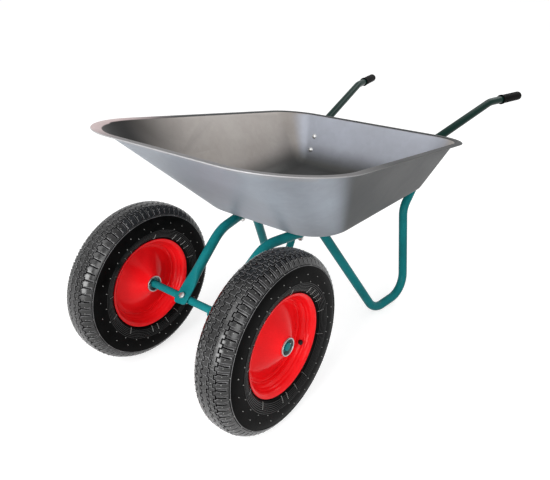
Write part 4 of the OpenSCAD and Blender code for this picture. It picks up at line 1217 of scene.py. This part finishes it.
def split_pin():
    eye = bmesh.new()
    ring = bmesh.ops.create_circle(eye, segments=WIRE_SIDES, radius=WIRE_R,
                                   matrix=Matrix.Translation((EYE_R, 0, 0)))
    bmesh.ops.spin(eye, geom=ring["verts"] + eye.edges[:], cent=(0, 0, 0), axis=(0, 1, 0), dvec=(0, 0, 0),
                   angle=2 * math.pi, steps=EYE_STEPS, use_merge=True)
    moved(merged(eye), Matrix.Translation((0, 0, PIN_LEG + EYE_R)))
    tail_start = Matrix.Translation((0, 0, TAIL_R - PIN_LEG))
    tails = [rod(TAIL_R, 0, TAIL_LEN, tail_start @ Matrix.Rotation(math.pi - way, 4, "Y"))
             for way in (TAIL_SPREAD, -TAIL_SPREAD)]
    return joined(rod(PIN_R, -PIN_LEG, PIN_LEG), eye, *tails)


pin_places = [Matrix.Translation((WHEEL_X + out, AXLE_Y, WHEEL_R)) @ Matrix.Rotation(math.pi / 2, 4, "X")
              for out in (-PIN_OUT, PIN_OUT)]
add_piece("split_pin_set", on_both_sides(split_pin(), pin_places), "barrow", ZINC, ["split_pins"])

# %% [markdown]
# Air goes in through a rubber stem that is seated in the rim's wall like a grommet, with a lid on it.
# Both are turned about the valve's own line and then laid into the wall at its slope.

# %% Valves
VALVE_TURN, VALVE_TILT = math.radians(60), math.radians(-55)
VALVE_R, VALVE_X = 96.5, 15
AT_VALVE = (ON_WHEEL @ Matrix.Rotation(math.pi / 2, 4, "Y") @ Matrix.Rotation(VALVE_TURN, 4, "Z")
            @ Matrix.Translation((VALVE_R, 0, VALVE_X)) @ Matrix.Rotation(VALVE_TILT, 4, "Y"))
STEM_OUTLINE = [(-4, 0), (-4, 4), (-3, 4), (-3, 5.45), (3, 5.45), (3.6, 4.6), (5, 4), (7, 4), (7, 0)]
LID_OUTLINE = [(7.05, 0), (7.05, 4.5), (12.05, 4.5), (12.05, 0)]
STEM_ROUND, LID_ROUND = 0.5, 1.0
stem = turned(STEM_OUTLINE, {STEM_ROUND: [3, 4]}, SMALL_TURN)
add_pair("valve_stem", moved(stem, AT_VALVE @ UPRIGHT), VALVE_RUBBER, ["valve"], WHEELS)
lid = turned(LID_OUTLINE, {LID_ROUND: [2]}, SMALL_TURN)
add_pair("valve_lid", moved(lid, AT_VALVE @ UPRIGHT), VALVE_RUBBER, ["valve_cap"], WHEELS)

# %% [markdown]
# ## Camera, floor and light
# The camera stands where the photograph was taken. Its place, its angles and its lens were solved from
# the wheels and the tray's rim. The middle of that perspective isn't the middle of the picture, so the
# lens is shifted. Turning the camera instead would change the perspective.

# %% Camera
CAMERA_AT = Vector((829.83, AXLE_Y - 765.40, 906.60)) * MM
TURN, DIP, ROLL = 0.63439, 0.34696, 0.01295
FOCUS_PX, FRAME_W, FRAME_H = 554.85, 550, 480
CENTRE_PX = (296.02, 181.63)
SENSOR_W = 36.0
look = Vector((-math.sin(TURN) * math.cos(DIP), math.cos(TURN) * math.cos(DIP), -math.sin(DIP)))
level = Vector((math.cos(TURN), math.sin(TURN), 0))
upward = level.cross(look)
right = level * math.cos(ROLL) + upward * math.sin(ROLL)
up = upward * math.cos(ROLL) - level * math.sin(ROLL)
lens = bpy.data.cameras.new("photo_lens")
lens.sensor_width = SENSOR_W
lens.lens = FOCUS_PX / FRAME_W * SENSOR_W
lens.shift_x = (FRAME_W / 2 - CENTRE_PX[0]) / FRAME_W
lens.shift_y = (CENTRE_PX[1] - FRAME_H / 2) / FRAME_W
camera = bpy.data.objects.new("photo_camera", lens)
basis = Matrix((right, up, -look)).transposed().to_4x4()
camera.matrix_world = Matrix.Translation(CAMERA_AT) @ basis
bpy.context.scene.collection.objects.link(camera)
bpy.context.scene.camera = camera
print("lens:", round(lens.lens, 1), "mm, at", [round(c, 3) for c in CAMERA_AT])

# %% [markdown]
# Product photographs stand on white. If the floor and the world gave all that white as light, the barrow
# would look flat. So the Light Path node makes both bright only for the rays that show them, directly or
# in a mirror image, and weaker for the rays that light the object. The floor still takes shadows.

# %% Floor
FLOOR_HALF, FLOOR_GREY, FLOOR_GLOW = 30000, (0.50, 0.50, 0.50, 1), 0.7
PLAIN_WHITE = (1, 1, 1, 1)


def seen_rays(tree, low, high):
    """A strength that is high for rays that show the background, and low for those that light the object."""
    rays = node(tree, "ShaderNodeLightPath")
    first = node(tree, "ShaderNodeMath", operation="MAXIMUM")
    second = node(tree, "ShaderNodeMath", operation="MAXIMUM")
    tree.links.new(rays.outputs["Is Camera Ray"], first.inputs[0])
    tree.links.new(rays.outputs["Is Glossy Ray"], first.inputs[1])
    tree.links.new(first.outputs[0], second.inputs[0])
    tree.links.new(rays.outputs["Is Transmission Ray"], second.inputs[1])
    return spread(tree, second.outputs[0], low, high, start=0.0, stop=1.0)


floor_bm = bmesh.new()
bmesh.ops.create_grid(floor_bm, x_segments=1, y_segments=1, size=FLOOR_HALF)
bmesh.ops.scale(floor_bm, vec=(MM, MM, MM), verts=floor_bm.verts)
floor_mesh = bpy.data.meshes.new("studio_floor")
floor_bm.to_mesh(floor_mesh)
floor_bm.free()
studio_floor = bpy.data.objects.new("studio_floor", floor_mesh)
bpy.context.scene.collection.objects.link(studio_floor)
floor_paint, floor_tree, floor_shader = new_material("pale_floor", Base_Color=FLOOR_GREY, Roughness=0.8,
                                                     Emission_Color=PLAIN_WHITE, Specular_IOR_Level=0.0)
floor_tree.links.new(seen_rays(floor_tree, 0.0, FLOOR_GLOW), floor_shader.inputs["Emission Strength"])
floor_mesh.materials.append(floor_paint)
print("floor:", FLOOR_HALF * 2 * MM, "m wide")

# %% [markdown]
# The world is a plain white room. It is weaker as a light than as a sight, for the same reason as the
# floor. An empty world would leave black mirror images in the paint.

# %% World
ROOM_LIGHT, ROOM_SEEN = 0.65, 1.0
world = bpy.data.worlds.new("studio")
bpy.context.scene.world = world
world.use_nodes = True
sky = world.node_tree
background = sky.nodes["Background"]
background.inputs["Color"].default_value = PLAIN_WHITE
sky.links.new(seen_rays(sky, ROOM_LIGHT, ROOM_SEEN), background.inputs["Strength"])
print("room:", ROOM_LIGHT, "as a light and", ROOM_SEEN, "as it is seen")

# %% [markdown]
# Four soft panels light the barrow: a key above the front, a low one in front that the treads mirror, a
# fill from the camera's side, and one behind for the tray's far edges. Panels are used rather than point
# lamps, because glossy rubber and paint show the shape of what lights them.

# %% Lamps
LAMPS = [  # each: name, place and aim in metres, width and height, power in watts
    ("key_softbox", (0.0, -2.7, 3.0), (0, 0, 0.3), (2.2, 1.6), 30),
    ("low_softbox", (0.3, -2.85, 0.72), (0.15, -0.6, 0.35), (1.25, 1.3), 52),
    ("fill_softbox", (2.7, -2.1, 1.2), (0, -0.4, 0.25), (1.6, 1.4), 26),
    ("back_softbox", (0.5, 3.2, 2.6), (0, 0, 0.4), (2.4, 1.4), 30),
]
for name, place, aim, size, power in LAMPS:
    data = bpy.data.lights.new(name, "AREA")
    data.shape = "RECTANGLE"
    data.size, data.size_y = size
    data.energy = power
    lamp = bpy.data.objects.new(name, data)
    lamp.location = place
    lamp.rotation_euler = (Vector(aim) - Vector(place)).to_track_quat("-Z", "Y").to_euler()
    bpy.context.scene.collection.objects.link(lamp)
    print(name, power, "W")
bpy.context.scene.view_settings.view_transform = "Standard"
